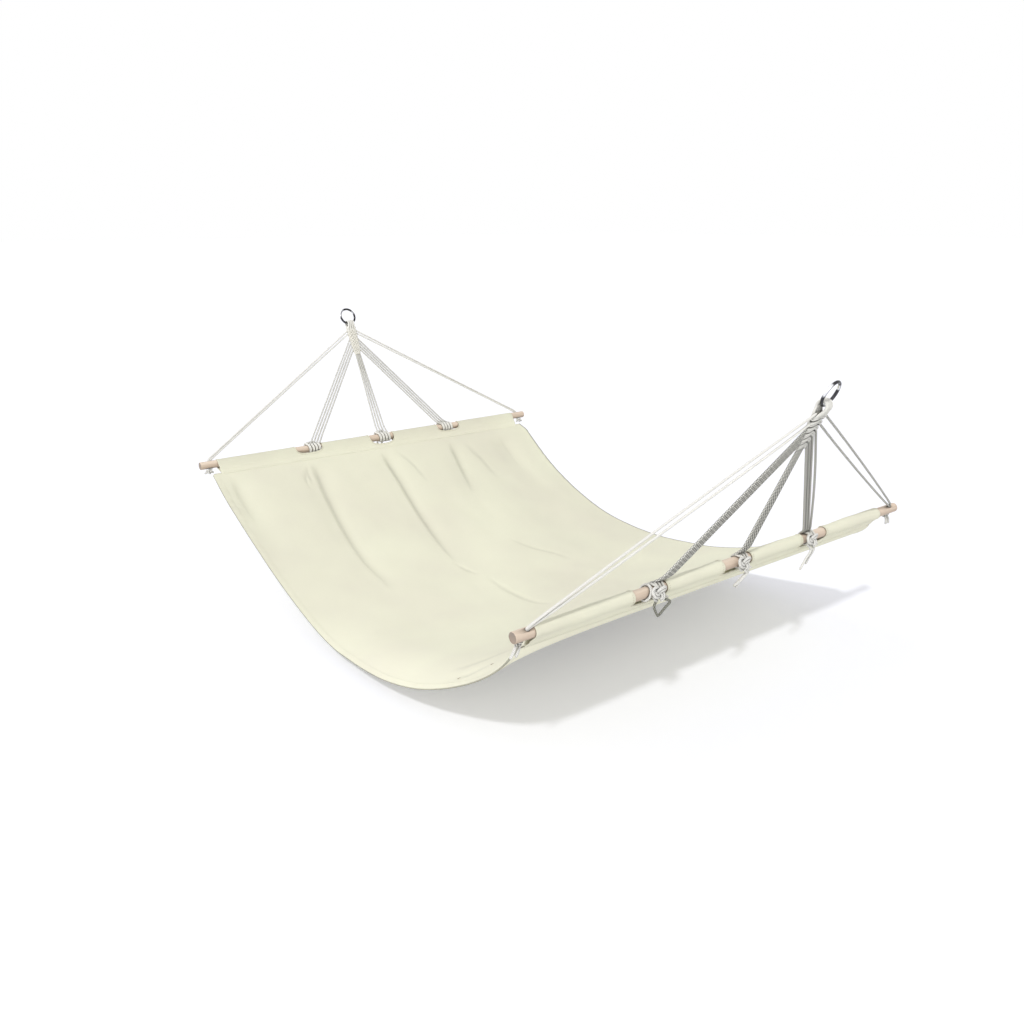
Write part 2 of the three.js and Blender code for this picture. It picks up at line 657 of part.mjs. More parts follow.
function bed() {
  const half = BED_WIDTH / 2;
  const rings = [];
  const shares = Array.from({ length: BED_STEPS }, (_, k) => k / BED_STEPS);
  DROOP_STEPS.forEach((inward) => shares.push(1 - inward / (2 * HALF_SPAN)));
  shares.push(1);
  for (const share of shares.sort((a, b) => a - b)) {
    const along = THREE.MathUtils.lerp(0, 2 * HALF_SPAN, share);
    const across = [-half, -half + SIDE_HEM, ...ROLL_COLUMNS];
    FOLDS.forEach(({ start, drift, reach }) => {
      const middle = start + (drift * along) / reach;
      across.push(middle - FOLD_WIDTH, middle, middle + FOLD_WIDTH);
    });
    across.push(half - SIDE_HEM, half);
    across.sort((a, b) => a - b);
    const place = (column, face) => {
      const x = THREE.MathUtils.lerp(-bedEnd('left', column), bedEnd('right', column), share);
      const y = column * widthShare(x, column);
      const slope = Math.atan((bedHeight(x + 1, y) - bedHeight(x - 1, y)) / 2);
      const thick = BED_THICKNESS / 2 / Math.cos(slope);
      return new THREE.Vector3(x, y, bedHeight(x, y) - foldDepth(x, y) + face * thick);
    };
    const under = across.map((y) => place(y, -1));
    const over = across.map((y) => place(y, 1)).reverse();
    rings.push([...under, ...over]);
  }
  return clothBody(rings);
}

// Joins the rings of a sheet, whose points run along the under side and back along the upper side.
function clothBody(rings) {
  const count = rings[0].length;
  const columns = count / 2;
  const index = [];
  rings.forEach((_, r) => {
    if (r + 1 === rings.length) return;
    for (let k = 0; k < count; k++) {
      const [a, b] = [r * count + k, r * count + ((k + 1) % count)];
      index.push(a, b, b + count, a, b + count, a + count);
    }
  });
  [0, rings.length - 1].forEach((r) => {
    for (let k = 0; k + 1 < columns; k++) {
      const [a, b] = [r * count + k, r * count + k + 1];
      const [c, d] = [r * count + count - 2 - k, r * count + count - 1 - k];
      if (r === 0) index.push(a, c, b, a, d, c);
      else index.push(a, b, c, a, c, d);
    }
  });
  const geometry = new THREE.BufferGeometry().setFromPoints(rings.flat());
  geometry.setIndex(index);
  return tidy(geometry);
}

// Assembly

function named(name, geometry, material) {
  const mesh = new THREE.Mesh(tidy(geometry), material.clone());
  mesh.name = name;
  return mesh;
}

function hammockEnd(name) {
  const { facing, ringTurn, windings, pitch, knotAside } = ENDS[name];
  const group = new THREE.Group();
  group.position.x = facing * HALF_SPAN;
  const put = (piece, geometry, material) => {
    group.add(named(`${name}_${piece}`, tidy(geometry).scale(facing, 1, 1), material));
  };
  const places = ['front', 'middle', 'back'];
  const clewSeat = clewBody(GAP);

  put('ring', ring(ringTurn), chrome);
  put('clew', cut(clewBody(), eyeHole(ringTurn)), cotton);
  put('spreader_bar', spreaderBar(), wood);
  put('sleeve', sleeve(name), canvas);
  [-1, 1].forEach((side) => {
    const where = places[side + 1];
    put(`stopper_knot_${where}`, stopperKnot(side), cotton);
    endPair(side, clewSeat).forEach((cord, k) => put(`end_cord_${where}_${k + 1}`, cord, cotton));
  });
  windings.forEach((middle, place) => {
    const where = places[place];
    put(`winding_${where}`, winding(middle, pitch), cotton);
    put(`knot_${where}`, groupKnot(middle, knotAside), cotton);
    groupCords(middle, place - 1, pitch, clewSeat)
      .forEach((cord, k) => put(`cord_${where}_${k + 1}`, cord, cotton));
  });
  return group;
}

const windingPaths = Object.values(ENDS).map(({ pitch }) => new WindingPath(0, pitch));
const leastGap = Math.min(...windingPaths.map(leastGapToItself));
console.log(`winding: least gap to itself ${leastGap.toFixed(2)} mm`);

// The origin is the point of the left ring that bears on its hook: inside the ring, at its top.
const hookRadius = RING_RADIUS - RING_WIRE / 2;
const leftHook = new THREE.Vector3(-HALF_SPAN - RING_OUT - PULL.x * hookRadius, 0,
  RING_RISE + PULL.z * hookRadius);

const hammock = new THREE.Group();
hammock.position.copy(leftHook).negate();
hammock.add(hammockEnd('left'));
hammock.add(hammockEnd('right'));
hammock.add(named('canvas_bed', bed(), canvas));

const part = new THREE.Group();
part.add(hammock);

export default part;
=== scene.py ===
# Dresses a two-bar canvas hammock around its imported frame: one hung cloth with its two sleeves, thirty-two
# braided cords with their windings and knots, two plaited clews, two wooden bars and two steel rings.
# Points are worked out in millimetres and turned to metres where a mesh is made. An end's points have its
# bar's axis on Y through the origin and its ring towards +X; the bed's points start midway between the bars.

import math

import bpy
import numpy as np
from mathutils import Euler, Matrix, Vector, noise


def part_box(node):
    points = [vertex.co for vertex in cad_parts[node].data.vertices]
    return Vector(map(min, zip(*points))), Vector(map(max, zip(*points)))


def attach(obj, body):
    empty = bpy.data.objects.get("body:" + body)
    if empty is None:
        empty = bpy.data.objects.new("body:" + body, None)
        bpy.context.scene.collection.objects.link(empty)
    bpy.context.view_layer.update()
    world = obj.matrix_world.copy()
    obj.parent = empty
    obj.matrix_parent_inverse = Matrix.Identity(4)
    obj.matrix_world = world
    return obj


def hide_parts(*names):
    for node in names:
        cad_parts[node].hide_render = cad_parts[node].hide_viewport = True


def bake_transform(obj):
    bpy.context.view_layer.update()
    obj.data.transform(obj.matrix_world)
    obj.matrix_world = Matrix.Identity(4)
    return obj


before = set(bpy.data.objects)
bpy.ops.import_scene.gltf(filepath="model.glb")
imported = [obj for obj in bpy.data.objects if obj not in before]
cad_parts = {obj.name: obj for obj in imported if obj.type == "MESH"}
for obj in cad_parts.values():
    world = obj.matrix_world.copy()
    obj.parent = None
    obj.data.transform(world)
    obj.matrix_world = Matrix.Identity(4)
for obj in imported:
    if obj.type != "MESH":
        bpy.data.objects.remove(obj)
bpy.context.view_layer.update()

# Places read from the frame

FACING = {"left": -1, "right": 1}
PLACES = ("front", "middle", "back")


def middle_of(node):
    low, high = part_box(node)
    return (np.array(low) + np.array(high)) * 500


BAR_MIDDLE = {end: middle_of(f"{end}_spreader_bar") for end in FACING}
CENTRE = (BAR_MIDDLE["left"] + BAR_MIDDLE["right"]) / 2
HALF_SPAN = (BAR_MIDDLE["right"] - BAR_MIDDLE["left"])[0] / 2
RING_CENTRE = middle_of("right_ring") - BAR_MIDDLE["right"]
PULL = RING_CENTRE / np.linalg.norm(RING_CENTRE)
FACE = np.array([PULL[2], 0, -PULL[0]])
ACROSS = np.array([0.0, 1.0, 0.0])

# Sizes in millimetres

BAR_LENGTH = 1400
BAR_RADIUS = 13
CORD_HOLE_PLACE = 666
CORD_HOLE_RADIUS = 6
RING_RADIUS = 29
RING_WIRE_RADIUS = 3.75
RING_TURN_DEG = {"left": 0, "right": 7}
CORD_RADIUS = 3
WINDING_RADIUS = 16.3
WINDING_PITCH = {"left": 12.5, "right": 9.5}
WINDING_TURNS = 3.5
WINDINGS = {"left": (-279, 14, 303), "right": (-289, 8, 282)}
KNOT_ASIDE = {"left": 0, "right": -19}
KNOT_FACE = 19.6
SLEEVES = {"left": (-642, 634), "right": (-650, 604)}
NOTCHES = {"left": (-302, 0, 306), "right": (-317, -16, 296)}

# Mesh making


def unit(v):
    v = np.asarray(v, float)
    return v / np.linalg.norm(v)


def in_fan(down, across, out=0.0):
    """A point of an end's fan: down the pull from the ring's centre, across, and out of the fan."""
    return RING_CENTRE - PULL * down + FACE * out + ACROSS * across


class Body:
    """Gathers grids of points into one mesh."""

    def __init__(self):
        self.points, self.faces, self.uvs, self.count = [], [], [], 0

    def grid(self, rows, us, vs, closed=False, caps=(False, False)):
        """rows[r][c] is a grid of points. us has one value more than the columns where they close."""
        rows = np.asarray(rows, float)
        high, wide = rows.shape[:2]
        self.points.append(rows.reshape(-1, 3))
        for r in range(high - 1):
            for c in range(wide if closed else wide - 1):
                n = (c + 1) % wide
                a, b = self.count + r * wide + c, self.count + r * wide + n
                self.faces.append((a, b, b + wide, a + wide))
                self.uvs.append(((us[c], vs[r]), (us[c + 1], vs[r]), (us[c + 1], vs[r + 1]), (us[c], vs[r + 1])))
        for r, wanted in zip((0, high - 1), caps):
            if wanted:
                ring = [self.count + r * wide + c for c in range(wide)]
                self.faces.append(tuple(ring[::-1] if r == 0 else ring))
                order = range(wide)[::-1] if r == 0 else range(wide)
                self.uvs.append(tuple((us[c], vs[r]) for c in order))
        self.count += high * wide

    def tube(self, path, radius, sides=12, ends="round"):
        """A round body along a path."""
        path = np.asarray(path, float)
        radii = np.full(len(path), float(radius))
        along = along_of(path)
        tangent, side, other = carried_frames(path)
        if ends == "round":
            bend = np.radians([80, 55, 28])
            head = [path[0] - tangent[0] * radii[0] * math.sin(b) * 0.7 for b in bend]
            tail = [path[-1] + tangent[-1] * radii[-1] * math.sin(b) * 0.7 for b in bend[::-1]]
            path = np.vstack([head, path, tail])
            radii = np.concatenate([radii[0] * np.cos(bend), radii, radii[-1] * np.cos(bend[::-1])])
            along = np.concatenate([[along[0]] * 3, along, [along[-1]] * 3])
            side = np.vstack([[side[0]] * 3, side, [side[-1]] * 3])
            other = np.vstack([[other[0]] * 3, other, [other[-1]] * 3])
        angle = np.arange(sides) * 2 * math.pi / sides
        rows = (path[:, None] + radii[:, None, None]
                * (np.cos(angle)[None, :, None] * side[:, None] + np.sin(angle)[None, :, None] * other[:, None]))
        self.grid(rows, np.arange(sides + 1) / sides, along / 1000, closed=True, caps=(True, True))

    def mesh(self, name, material, end=None):
        """Makes the object, in metres, from points of an end or of the bed."""
        points = np.vstack(self.points)
        faces, uvs = self.faces, self.uvs
        if end == "left":
            points = points * (-1, 1, 1)
            faces = [f[::-1] for f in faces]
            uvs = [u[::-1] for u in uvs]
        points = (points + (CENTRE if end is None else BAR_MIDDLE[end])) / 1000
        data = bpy.data.meshes.new(name)
        data.from_pydata(points.tolist(), [], faces)
        layer = data.uv_layers.new(name="UVMap")
        layer.data.foreach_set("uv", np.array([xy for u in uvs for xy in u], np.float32).ravel())
        data.polygons.foreach_set("use_smooth", [True] * len(data.polygons))
        data.materials.append(material)
        data.validate()
        obj = bpy.data.objects.new(name, data)
        bpy.context.scene.collection.objects.link(obj)
        return obj


def carried_frames(path):
    """Unit vectors along a path and square to it, carried along without twisting."""
    tangent = np.gradient(path, axis=0)
    tangent /= np.linalg.norm(tangent, axis=1)[:, None]
    side = np.zeros_like(path)
    reference = np.array([0, 0, 1.0]) if abs(tangent[0][2]) < 0.8 else np.array([0, 1.0, 0])
    side[0] = unit(np.cross(reference, tangent[0]))
    for i in range(1, len(path)):
        side[i] = unit(side[i - 1] - tangent[i] * np.dot(side[i - 1], tangent[i]))
    return tangent, side, np.cross(tangent, side)


def along_of(path):
    """The distance along a path at each of its points."""
    return np.concatenate([[0], np.cumsum(np.linalg.norm(np.diff(path, axis=0), axis=1))])


def even(path, step):
    """The same path with points about a step apart."""
    path = np.asarray(path, float)
    along = along_of(path)
    wanted = np.linspace(0, along[-1], max(2, int(round(along[-1] / step)) + 1))
    return np.stack([np.interp(wanted, along, path[:, k]) for k in range(3)], 1)


def smooth_path(points, step):
    """A curve through the points, with even steps."""
    p = np.asarray(points, float)
    p = np.vstack([2 * p[0] - p[1], p, 2 * p[-1] - p[-2]])
    t = np.linspace(0, 1, 16, endpoint=False)[:, None]
    runs = []
    for a, b, c, d in zip(p, p[1:], p[2:], p[3:]):
        runs.append(0.5 * (2 * b + (c - a) * t + (2 * a - 5 * b + 4 * c - d) * t**2
                           + (3 * b - a - 3 * c + d) * t**3))
    return even(np.vstack(runs + [p[-2:-1]]), step)


def belong(obj, body, node):
    """The body that carries a piece, and the solid that it stands for."""
    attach(obj, body)
    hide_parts(node)


def ease(x):
    x = np.clip(x, 0, 1)
    return x * x * (3 - 2 * x)


def grain(points, scale, seed):
    """Soft noise from -1 to 1 at each point, the same on every run."""
    flat = np.asarray(points, float).reshape(-1, 3) / scale + seed * 17.3
    values = np.array([noise.noise(Vector(p)) for p in flat])
    return values.reshape(np.shape(points)[:-1])


# Materials


class Nodes:
    """A short way to write the node tree of a material or of the sky."""

    def __init__(self, owner):
        self.owner = owner
        owner.use_nodes = True
        self.tree = owner.node_tree
        self.tree.nodes.clear()

    def add(self, kind, inputs=(), **settings):
        node = self.tree.nodes.new(kind)
        for key, value in settings.items():
            setattr(node, key, value)
        for key, value in dict(inputs).items():
            self.put(node.inputs[key], value)
        return node

    def put(self, socket, value):
        if isinstance(value, bpy.types.NodeSocket):
            self.tree.links.new(value, socket)
        elif isinstance(value, bpy.types.Node):
            self.tree.links.new(value.outputs[0], socket)
        else:
            socket.default_value = value

    def math(self, operation, a, b=0.0, c=0.0):
        return self.add("ShaderNodeMath", {0: a, 1: b, 2: c}, operation=operation)

    def times(self, a, b):
        return self.math("MULTIPLY", a, b)

    def plus(self, a, b):
        return self.math("ADD", a, b)

    def minus(self, a, b):
        return self.math("SUBTRACT", a, b)

    def zigzag(self, value, reach):
        """Up to reach and back to 0, over and over."""
        return self.math("PINGPONG", value, reach)

    def mix(self, share, a, b):
        return self.add("ShaderNodeMix", {"Factor": share, "A": a, "B": b}, data_type="RGBA").outputs["Result"]

    def span(self, value, low, high, to_low=0.0, to_high=1.0):
        return self.add("ShaderNodeMapRange", {"Value": value, "From Min": low, "From Max": high,
                                               "To Min": to_low, "To Max": to_high})

    def noise(self, vector, scale, detail=3.0, roughness=0.55):
        return self.add("ShaderNodeTexNoise", {"Vector": vector, "Scale": scale, "Detail": detail,
                                               "Roughness": roughness})

    def bump(self, height, distance, strength=1.0):
        return self.add("ShaderNodeBump", {"Height": height, "Distance": distance, "Strength": strength})

    def uv(self):
        return self.add("ShaderNodeSeparateXYZ", {0: self.add("ShaderNodeUVMap")}).outputs

    def place(self):
        return self.add("ShaderNodeTexCoord").outputs["Object"]

    def scaled(self, vector, *scale):
        return self.add("ShaderNodeMapping", {"Vector": vector, "Scale": scale})

    def openness(self, reach):
        """1 in the clear, and less the deeper a place lies between its neighbours."""
        return self.add("ShaderNodeAmbientOcclusion", {"Distance": reach}, samples=6).outputs["AO"]

    def seen(self):
        """1 on what the camera sees, itself or in metal or glass, and 0 on all other rays."""
        rays = self.add("ShaderNodeLightPath").outputs
        either = self.math("MAXIMUM", rays["Is Camera Ray"], rays["Is Glossy Ray"])
        return self.math("MAXIMUM", either, rays["Is Transmission Ray"])

    def surface(self, shader, kind="ShaderNodeOutputMaterial"):
        self.put(self.add(kind).inputs[0], shader)
        return self.owner

    def finish(self, **sockets):
        return self.surface(self.add("ShaderNodeBsdfPrincipled",
                                     {key.replace("_", " "): value for key, value in sockets.items()}))


def rgb(r, g, b):
    return (r, g, b, 1.0)


CREVICE_REACH = 0.006
WOOD_CREVICE_REACH = 0.009
SLEEVE_CLOTH = 156.5


def cord_material(name, light, dark, cell=0.0034, crevice_shade=1.0, yarns=8, sunk=(0.15, 0.72)):
    """Plaited cotton: yarns run both ways round the cord and dive under each other."""
    m = Nodes(bpy.data.materials.new(name))
    uv = m.uv()
    around = m.times(uv[0], yarns)
    along = m.math("DIVIDE", uv[1], cell)
    cells = [m.plus(around, along), m.minus(around, along)]
    shares = [m.math("FRACT", c) for c in cells]
    floors = [m.math("FLOOR", c) for c in cells]
    over = m.zigzag(m.plus(*floors), 1.0)

    def yarn(across, way):
        round_side = m.zigzag(m.times(across, 2.0), 1.0)
        dive = m.zigzag(m.times(way, 2.0), 1.0)
        width = m.math("POWER", round_side, 0.5)
        return m.times(width, m.math("MULTIPLY_ADD", m.math("POWER", dive, 0.6), 0.5, 0.5))

    first, second = yarn(shares[1], shares[0]), yarn(shares[0], shares[1])
    height = m.plus(m.times(first, over),
                    m.times(second, m.minus(1.0, over)))
    place = m.place()
    fibre = m.noise(place, 1400.0, 2.0)
    patch = m.noise(place, 22.0, 3.0)
    tone = m.mix(m.span(height, *sunk), dark, light)
    tone = m.mix(m.span(patch, 0.35, 0.75, 0.0, 0.22), tone, m.mix(0.5, light, dark))
    # Painted shade: darker the deeper a place lies between yarns, cords and their neighbours.
    shade = m.span(m.openness(CREVICE_REACH), 0.25, 0.88, crevice_shade, 0.0)
    tone = m.mix(shade, tone, m.mix(0.35, rgb(0.10, 0.095, 0.08), dark))
    relief = m.math("MULTIPLY_ADD", fibre, 0.25, height)
    return m.finish(Base_Color=tone, Roughness=0.88, Sheen_Weight=0.15, Sheen_Roughness=0.5,
                    Normal=m.bump(relief, 0.0007, 0.9))


THREAD_PITCH = 0.0012
DARK_EDGE = (0.6705, 0.6738)


def canvas_material(name, gain=None):
    """Plain-woven cotton duck: two sets of threads, slubs and a soft unevenness of the cream dye.
    gain, where given, says how much lighter or darker than its dye each place of the piece is."""
    m = Nodes(bpy.data.materials.new(name))
    uv = m.uv()
    place = m.place()
    across = m.math("DIVIDE", uv[0], THREAD_PITCH)
    along = m.math("DIVIDE", uv[1], THREAD_PITCH)
    odd = m.zigzag(m.plus(m.math("FLOOR", across), m.math("FLOOR", along)), 1.0)

    def crown(value):
        return m.math("POWER", m.zigzag(m.times(m.math("FRACT", value), 2.0), 1.0), 0.6)

    warp, weft = crown(across), crown(along)
    weave = m.plus(m.times(warp, odd), m.times(weft, m.minus(1.0, odd)))
    slubs = [
        m.noise(m.scaled(m.add("ShaderNodeUVMap"), *scale), 1.0, 2.0)
        for scale in ((700.0, 18.0, 1.0), (18.0, 700.0, 1.0))
    ]
    slub = m.plus(slubs[0], slubs[1])
    cloud = m.noise(place, 2.6, 2.0)
    mottle = m.noise(place, 14.0, 3.0)
    tone = m.mix(m.span(cloud, 0.35, 0.65), rgb(0.855, 0.85, 0.68), rgb(0.79, 0.765, 0.63))
    tone = m.mix(m.span(mottle, 0.3, 0.7, 0.0, 0.3), tone, rgb(0.84, 0.83, 0.655))
    tone = m.mix(m.span(slub, 0.8, 1.35, 0.0, 0.35), tone, rgb(0.79, 0.775, 0.62))
    tone = m.mix(m.span(weave, 0.0, 0.6, 0.16, 0.0), tone, rgb(0.62, 0.60, 0.46))
    if gain:
        tone = m.add("ShaderNodeVectorMath", {0: tone, "Scale": gain(m, uv[0], uv[1])},
                     operation="SCALE").outputs[0]
    # Painted shade: the outermost few millimetres of the bed's side edges turn dark.
    tone = m.mix(m.span(m.math("ABSOLUTE", uv[0]), *DARK_EDGE, 0.0, 0.9), tone, rgb(0.33, 0.32, 0.25))
    relief = m.math("MULTIPLY_ADD", slub, 0.5, weave)
    return m.finish(Base_Color=tone, Roughness=0.9, Sheen_Weight=0.12, Sheen_Roughness=0.45,
                    Normal=m.bump(relief, 0.00025, 0.7))


# Where the cloth is lighter or darker than its dye: from and to, in metres over the flat cloth, and how much.
# These follow the photograph's tones, so some of its light and shade is in them.
TOP_DARKER = (0.65, 0.15, 0.0, 0.045)
LOW_LIGHTER = (0.7, 1.1, 0.0, 0.03)
BACK_DARKER, BACK_DARKER_ALONG = (0.0, 0.4, 0.0, 0.035), (1.3, 0.8)
EDGE_LIGHTER, EDGE_LIGHTER_ALONG = (-0.51, -0.625, 0.0, 0.11), (0.75, 1.15)
BESIDE_BAR_LIGHTER = (1.62, 1.70, 0.0, 0.10)
CREASE_TONE = 0.72
SLEEVE_TONE = {"left": (0.012, 0.068, 0.96, 0.84), "right": (0.02, 0.06, 1.10, 0.98)}


def bed_gain(m, across, along):
    """Lighter at the low part, the front edge and the right bar, and darker at the top, the back and in creases."""
    back = m.times(m.span(across, *BACK_DARKER), m.span(along, *BACK_DARKER_ALONG))
    edge = m.times(m.span(across, *EDGE_LIGHTER), m.span(along, *EDGE_LIGHTER_ALONG))
    darker = m.plus(m.span(along, *TOP_DARKER), back)
    lighter = m.plus(m.span(along, *LOW_LIGHTER), edge)
    gain = m.plus(m.minus(1.0, darker), lighter)
    # Painted shade along the creases, and painted light on the strip beside the right bar where that bar's shadow
    # falls.
    crease = m.add("ShaderNodeAttribute", attribute_name="crease").outputs["Fac"]
    gain = m.plus(gain, m.span(along, *BESIDE_BAR_LIGHTER))
    return m.times(gain, m.span(crease, 0.0, 1.0, 1.0, CREASE_TONE))


def sleeve_gain(end):
    """Each sleeve is darker at its top than at its hems, and the right one is lighter all over: painted shade and
    light.
    """
    def gain(m, across, along):
        half = SLEEVE_CLOTH / 2000
        from_hem = m.minus(half, m.math("ABSOLUTE", m.minus(along, half)))
        return m.span(from_hem, *SLEEVE_TONE[end])

    return gain


def wood_material(name):
    """Turned hardwood dowel: pale grain along the bar and darker end grain with growth rings.
    Its underside is darker than its top, which is the photograph's shade."""
    m = Nodes(bpy.data.materials.new(name))
    place = m.place()
    figure = m.noise(m.scaled(place, 90.0, 3.5, 90.0), 1.0, 4.0, 0.6)
    pores = m.noise(m.scaled(place, 900.0, 26.0, 900.0), 1.0, 2.0)
    drift = m.noise(m.scaled(place, 6.0, 1.2, 6.0), 1.0, 2.0)
    tone = m.mix(m.span(figure, 0.32, 0.68), rgb(0.61, 0.485, 0.375), rgb(0.80, 0.68, 0.555))
    tone = m.mix(m.span(drift, 0.35, 0.7, 0.0, 0.5), tone, rgb(0.72, 0.575, 0.465))
    tone = m.mix(m.span(pores, 0.6, 0.75, 0.0, 0.35), tone, rgb(0.50, 0.38, 0.29))
    uv = m.uv()
    rings = m.add("ShaderNodeTexWave", {"Vector": place, "Scale": 160.0, "Distortion": 2.5, "Detail": 2.0},
                  wave_type="RINGS", rings_direction="Y")
    end_tone = m.mix(m.span(rings, 0.2, 0.8), rgb(0.22, 0.18, 0.15), rgb(0.36, 0.30, 0.25))
    tone = m.mix(m.span(uv[0], 1.2, 1.3), tone, end_tone)
    height = m.minus(m.add("ShaderNodeSeparateXYZ", {0: place}).outputs[2], float(CENTRE[2]) / 1000)
    tone = m.mix(m.span(height, 0.009, -0.010, 0.0, 0.6), tone, rgb(0.42, 0.315, 0.24))
    # Painted shade: darker where the wood lies close under cords and cloth.
    tone = m.mix(m.span(m.openness(WOOD_CREVICE_REACH), 0.3, 0.9, 0.85, 0.0), tone, rgb(0.13, 0.095, 0.065))
    return m.finish(Base_Color=tone, Roughness=m.span(figure, 0.3, 0.7, 0.62, 0.5),
                    Normal=m.bump(m.plus(figure, pores), 0.00018, 0.5))


# Where round the ring its painted dark reflections lie, and how far each reaches.
STEEL_CRESCENTS = ((0.02, 0.09), (0.30, 0.08), (0.66, 0.07))


def steel_material(name):
    """Chromed welded ring with fine scratches round the wire. Its bright crown and dark polished flanks are painted
    reflections, and so are the dark crescents, which pale surroundings can't give."""
    m = Nodes(bpy.data.materials.new(name))
    uv = m.uv()
    flank = m.math("ABSOLUTE", m.math("SINE", m.times(uv[0], 2 * math.pi)))
    place = m.place()
    patch = m.noise(place, 60.0, 3.0)
    scratch = m.noise(m.scaled(m.add("ShaderNodeUVMap"), 160.0, 40.0, 1.0), 1.0, 2.0)
    tone = m.mix(m.span(m.plus(flank, m.span(patch, 0.3, 0.7, -0.2, 0.2)), 0.35, 0.85),
                 rgb(0.30, 0.30, 0.31), rgb(0.86, 0.87, 0.89))
    for place_round, reach in STEEL_CRESCENTS:
        away = m.zigzag(m.minus(uv[1], place_round), 0.5)
        near = m.span(m.plus(away, m.span(patch, 0.3, 0.7, -0.02, 0.02)), reach, reach + 0.03, 1.0, 0.0)
        tone = m.mix(near, tone, m.mix(m.span(flank, 0.1, 0.6), rgb(0.012, 0.012, 0.014), rgb(0.06, 0.06, 0.065)))
    return m.finish(Base_Color=tone, Metallic=1.0, Roughness=m.span(scratch, 0.3, 0.7, 0.1, 0.26),
                    Normal=m.bump(scratch, 0.00004, 0.4))


BED_CANVAS = canvas_material("cream_canvas", bed_gain)
SLEEVE_CANVAS = {end: canvas_material(f"cream_canvas_{end}", sleeve_gain(end)) for end in FACING}
# It is likely one kind of cord in sun and shade. Its tones differ by place as they do in the photograph,
# so some of that light is in these materials.
CORD = cord_material("plaited_cotton", rgb(0.89, 0.88, 0.83), rgb(0.56, 0.54, 0.48))
WHITE_CORD = cord_material("plaited_cotton_white", rgb(0.95, 0.94, 0.90), rgb(0.68, 0.66, 0.60), crevice_shade=0.6)
# Painted shade: the right front knot's tails are cord painted dark.
TAIL_CORD = cord_material("shaded_tail_cotton", rgb(0.40, 0.40, 0.34), rgb(0.05, 0.05, 0.04), 0.007, 1.0, 4,
                          (0.3, 0.85))
SHADED_CORD = cord_material("plaited_cotton_grey", rgb(0.95, 0.94, 0.88), rgb(0.04, 0.04, 0.034), 0.011, 1.0, 4,
                            (0.3, 0.85))
LEFT_CORD = cord_material("plaited_cotton_left", rgb(0.80, 0.79, 0.75), rgb(0.45, 0.44, 0.40), crevice_shade=0.7)
LEFT_CLEW_CORD = cord_material("plaited_cotton_beige", rgb(0.88, 0.86, 0.79), rgb(0.72, 0.69, 0.62), crevice_shade=0.35)
KNOT_CORD = cord_material("knotted_cotton", rgb(0.95, 0.94, 0.90), rgb(0.15, 0.145, 0.12), 0.005, 1.0, 6, (0.1, 0.6))
# Painted shade: the right clew's core is nearly black where it shows between the cords laid round it.
CORE_CORD = cord_material("plait_core", rgb(0.42, 0.41, 0.36), rgb(0.03, 0.03, 0.025), 0.009, 1.0, 8)
THREAD = cord_material("sewing_thread", rgb(0.86, 0.85, 0.69), rgb(0.74, 0.72, 0.57), crevice_shade=0.15)
RIM_THREAD = cord_material("rim_thread", rgb(0.66, 0.57, 0.44), rgb(0.40, 0.33, 0.25), crevice_shade=0.15)
WOOD = wood_material("turned_wood")
STEEL = steel_material("chromed_steel")

# Camera, light and floor

CAMERA_PLACE = (3.2285, -1.7262, 0.3298)
CAMERA_TURN = (90 - 17.66, 0.11, 51.79)
LENS = 32.23
FLOOR_BELOW_BARS = 395
SUNS = {
    "sun": ((-0.56, 0.78, -1.0), 1.4, 3.5),
    "fill": ((-0.75, 0.60, -0.15), 0.78, 60),
    "far_fill": ((0.60, 0.50, -0.60), 0.45, 60),
}
SKY_STRENGTH = 0.56
FLOOR_GLOW = 0.24
FLOOR_GLOW_COLOUR = (1.0, 1.0, 1.06, 1.0)
FLOOR_SHADED = (0.80, 0.805, 0.845, 1.0)
FLOOR_COLOUR = (0.85, 0.85, 0.85, 1.0)
FLOOR_REACH = 60.0


def camera():
    data = bpy.data.cameras.new("camera")
    data.lens = LENS
    data.sensor_width = 36
    obj = bpy.data.objects.new("camera", data)
    obj.location = CAMERA_PLACE
    obj.rotation_euler = Euler([math.radians(a) for a in CAMERA_TURN], "XYZ")
    bpy.context.scene.collection.objects.link(obj)
    bpy.context.scene.camera = obj


def lights():
    for name, (runs, strength, width) in SUNS.items():
        sun = bpy.data.lights.new(name, "SUN")
        sun.energy = strength
        sun.angle = math.radians(width)
        obj = bpy.data.objects.new(name, sun)
        obj.rotation_euler = Vector(runs).to_track_quat("-Z", "Y").to_euler()
        bpy.context.scene.collection.objects.link(obj)
    world = bpy.data.worlds.new("sky")
    bpy.context.scene.world = world
    sky = Nodes(world)
    strength = sky.span(sky.seen(), 0.0, 1.0, SKY_STRENGTH, 1.0)
    background = sky.add("ShaderNodeBackground", {"Color": rgb(1, 1, 1), "Strength": strength})
    sky.surface(background, "ShaderNodeOutputWorld")


def floor():
    m = Nodes(bpy.data.materials.new("pale_floor"))
    seen = m.seen()
    diffuse = m.add("ShaderNodeBsdfDiffuse", {"Color": m.mix(seen, FLOOR_COLOUR, FLOOR_SHADED)})
    glow = m.add("ShaderNodeEmission", {"Color": FLOOR_GLOW_COLOUR, "Strength": m.times(seen, FLOOR_GLOW)})
    m.surface(m.add("ShaderNodeAddShader", {0: diffuse, 1: glow}))
    data = bpy.data.meshes.new("floor")
    low = (CENTRE[2] - FLOOR_BELOW_BARS) / 1000
    corners = [(x * FLOOR_REACH, y * FLOOR_REACH, low) for x, y in ((-1, -1), (1, -1), (1, 1), (-1, 1))]
    data.from_pydata(corners, [], [(0, 1, 2, 3)])
    data.materials.append(m.owner)
    obj = bpy.data.objects.new("floor", data)
    bpy.context.scene.collection.objects.link(obj)


camera()
lights()
floor()

# Cords of the fans

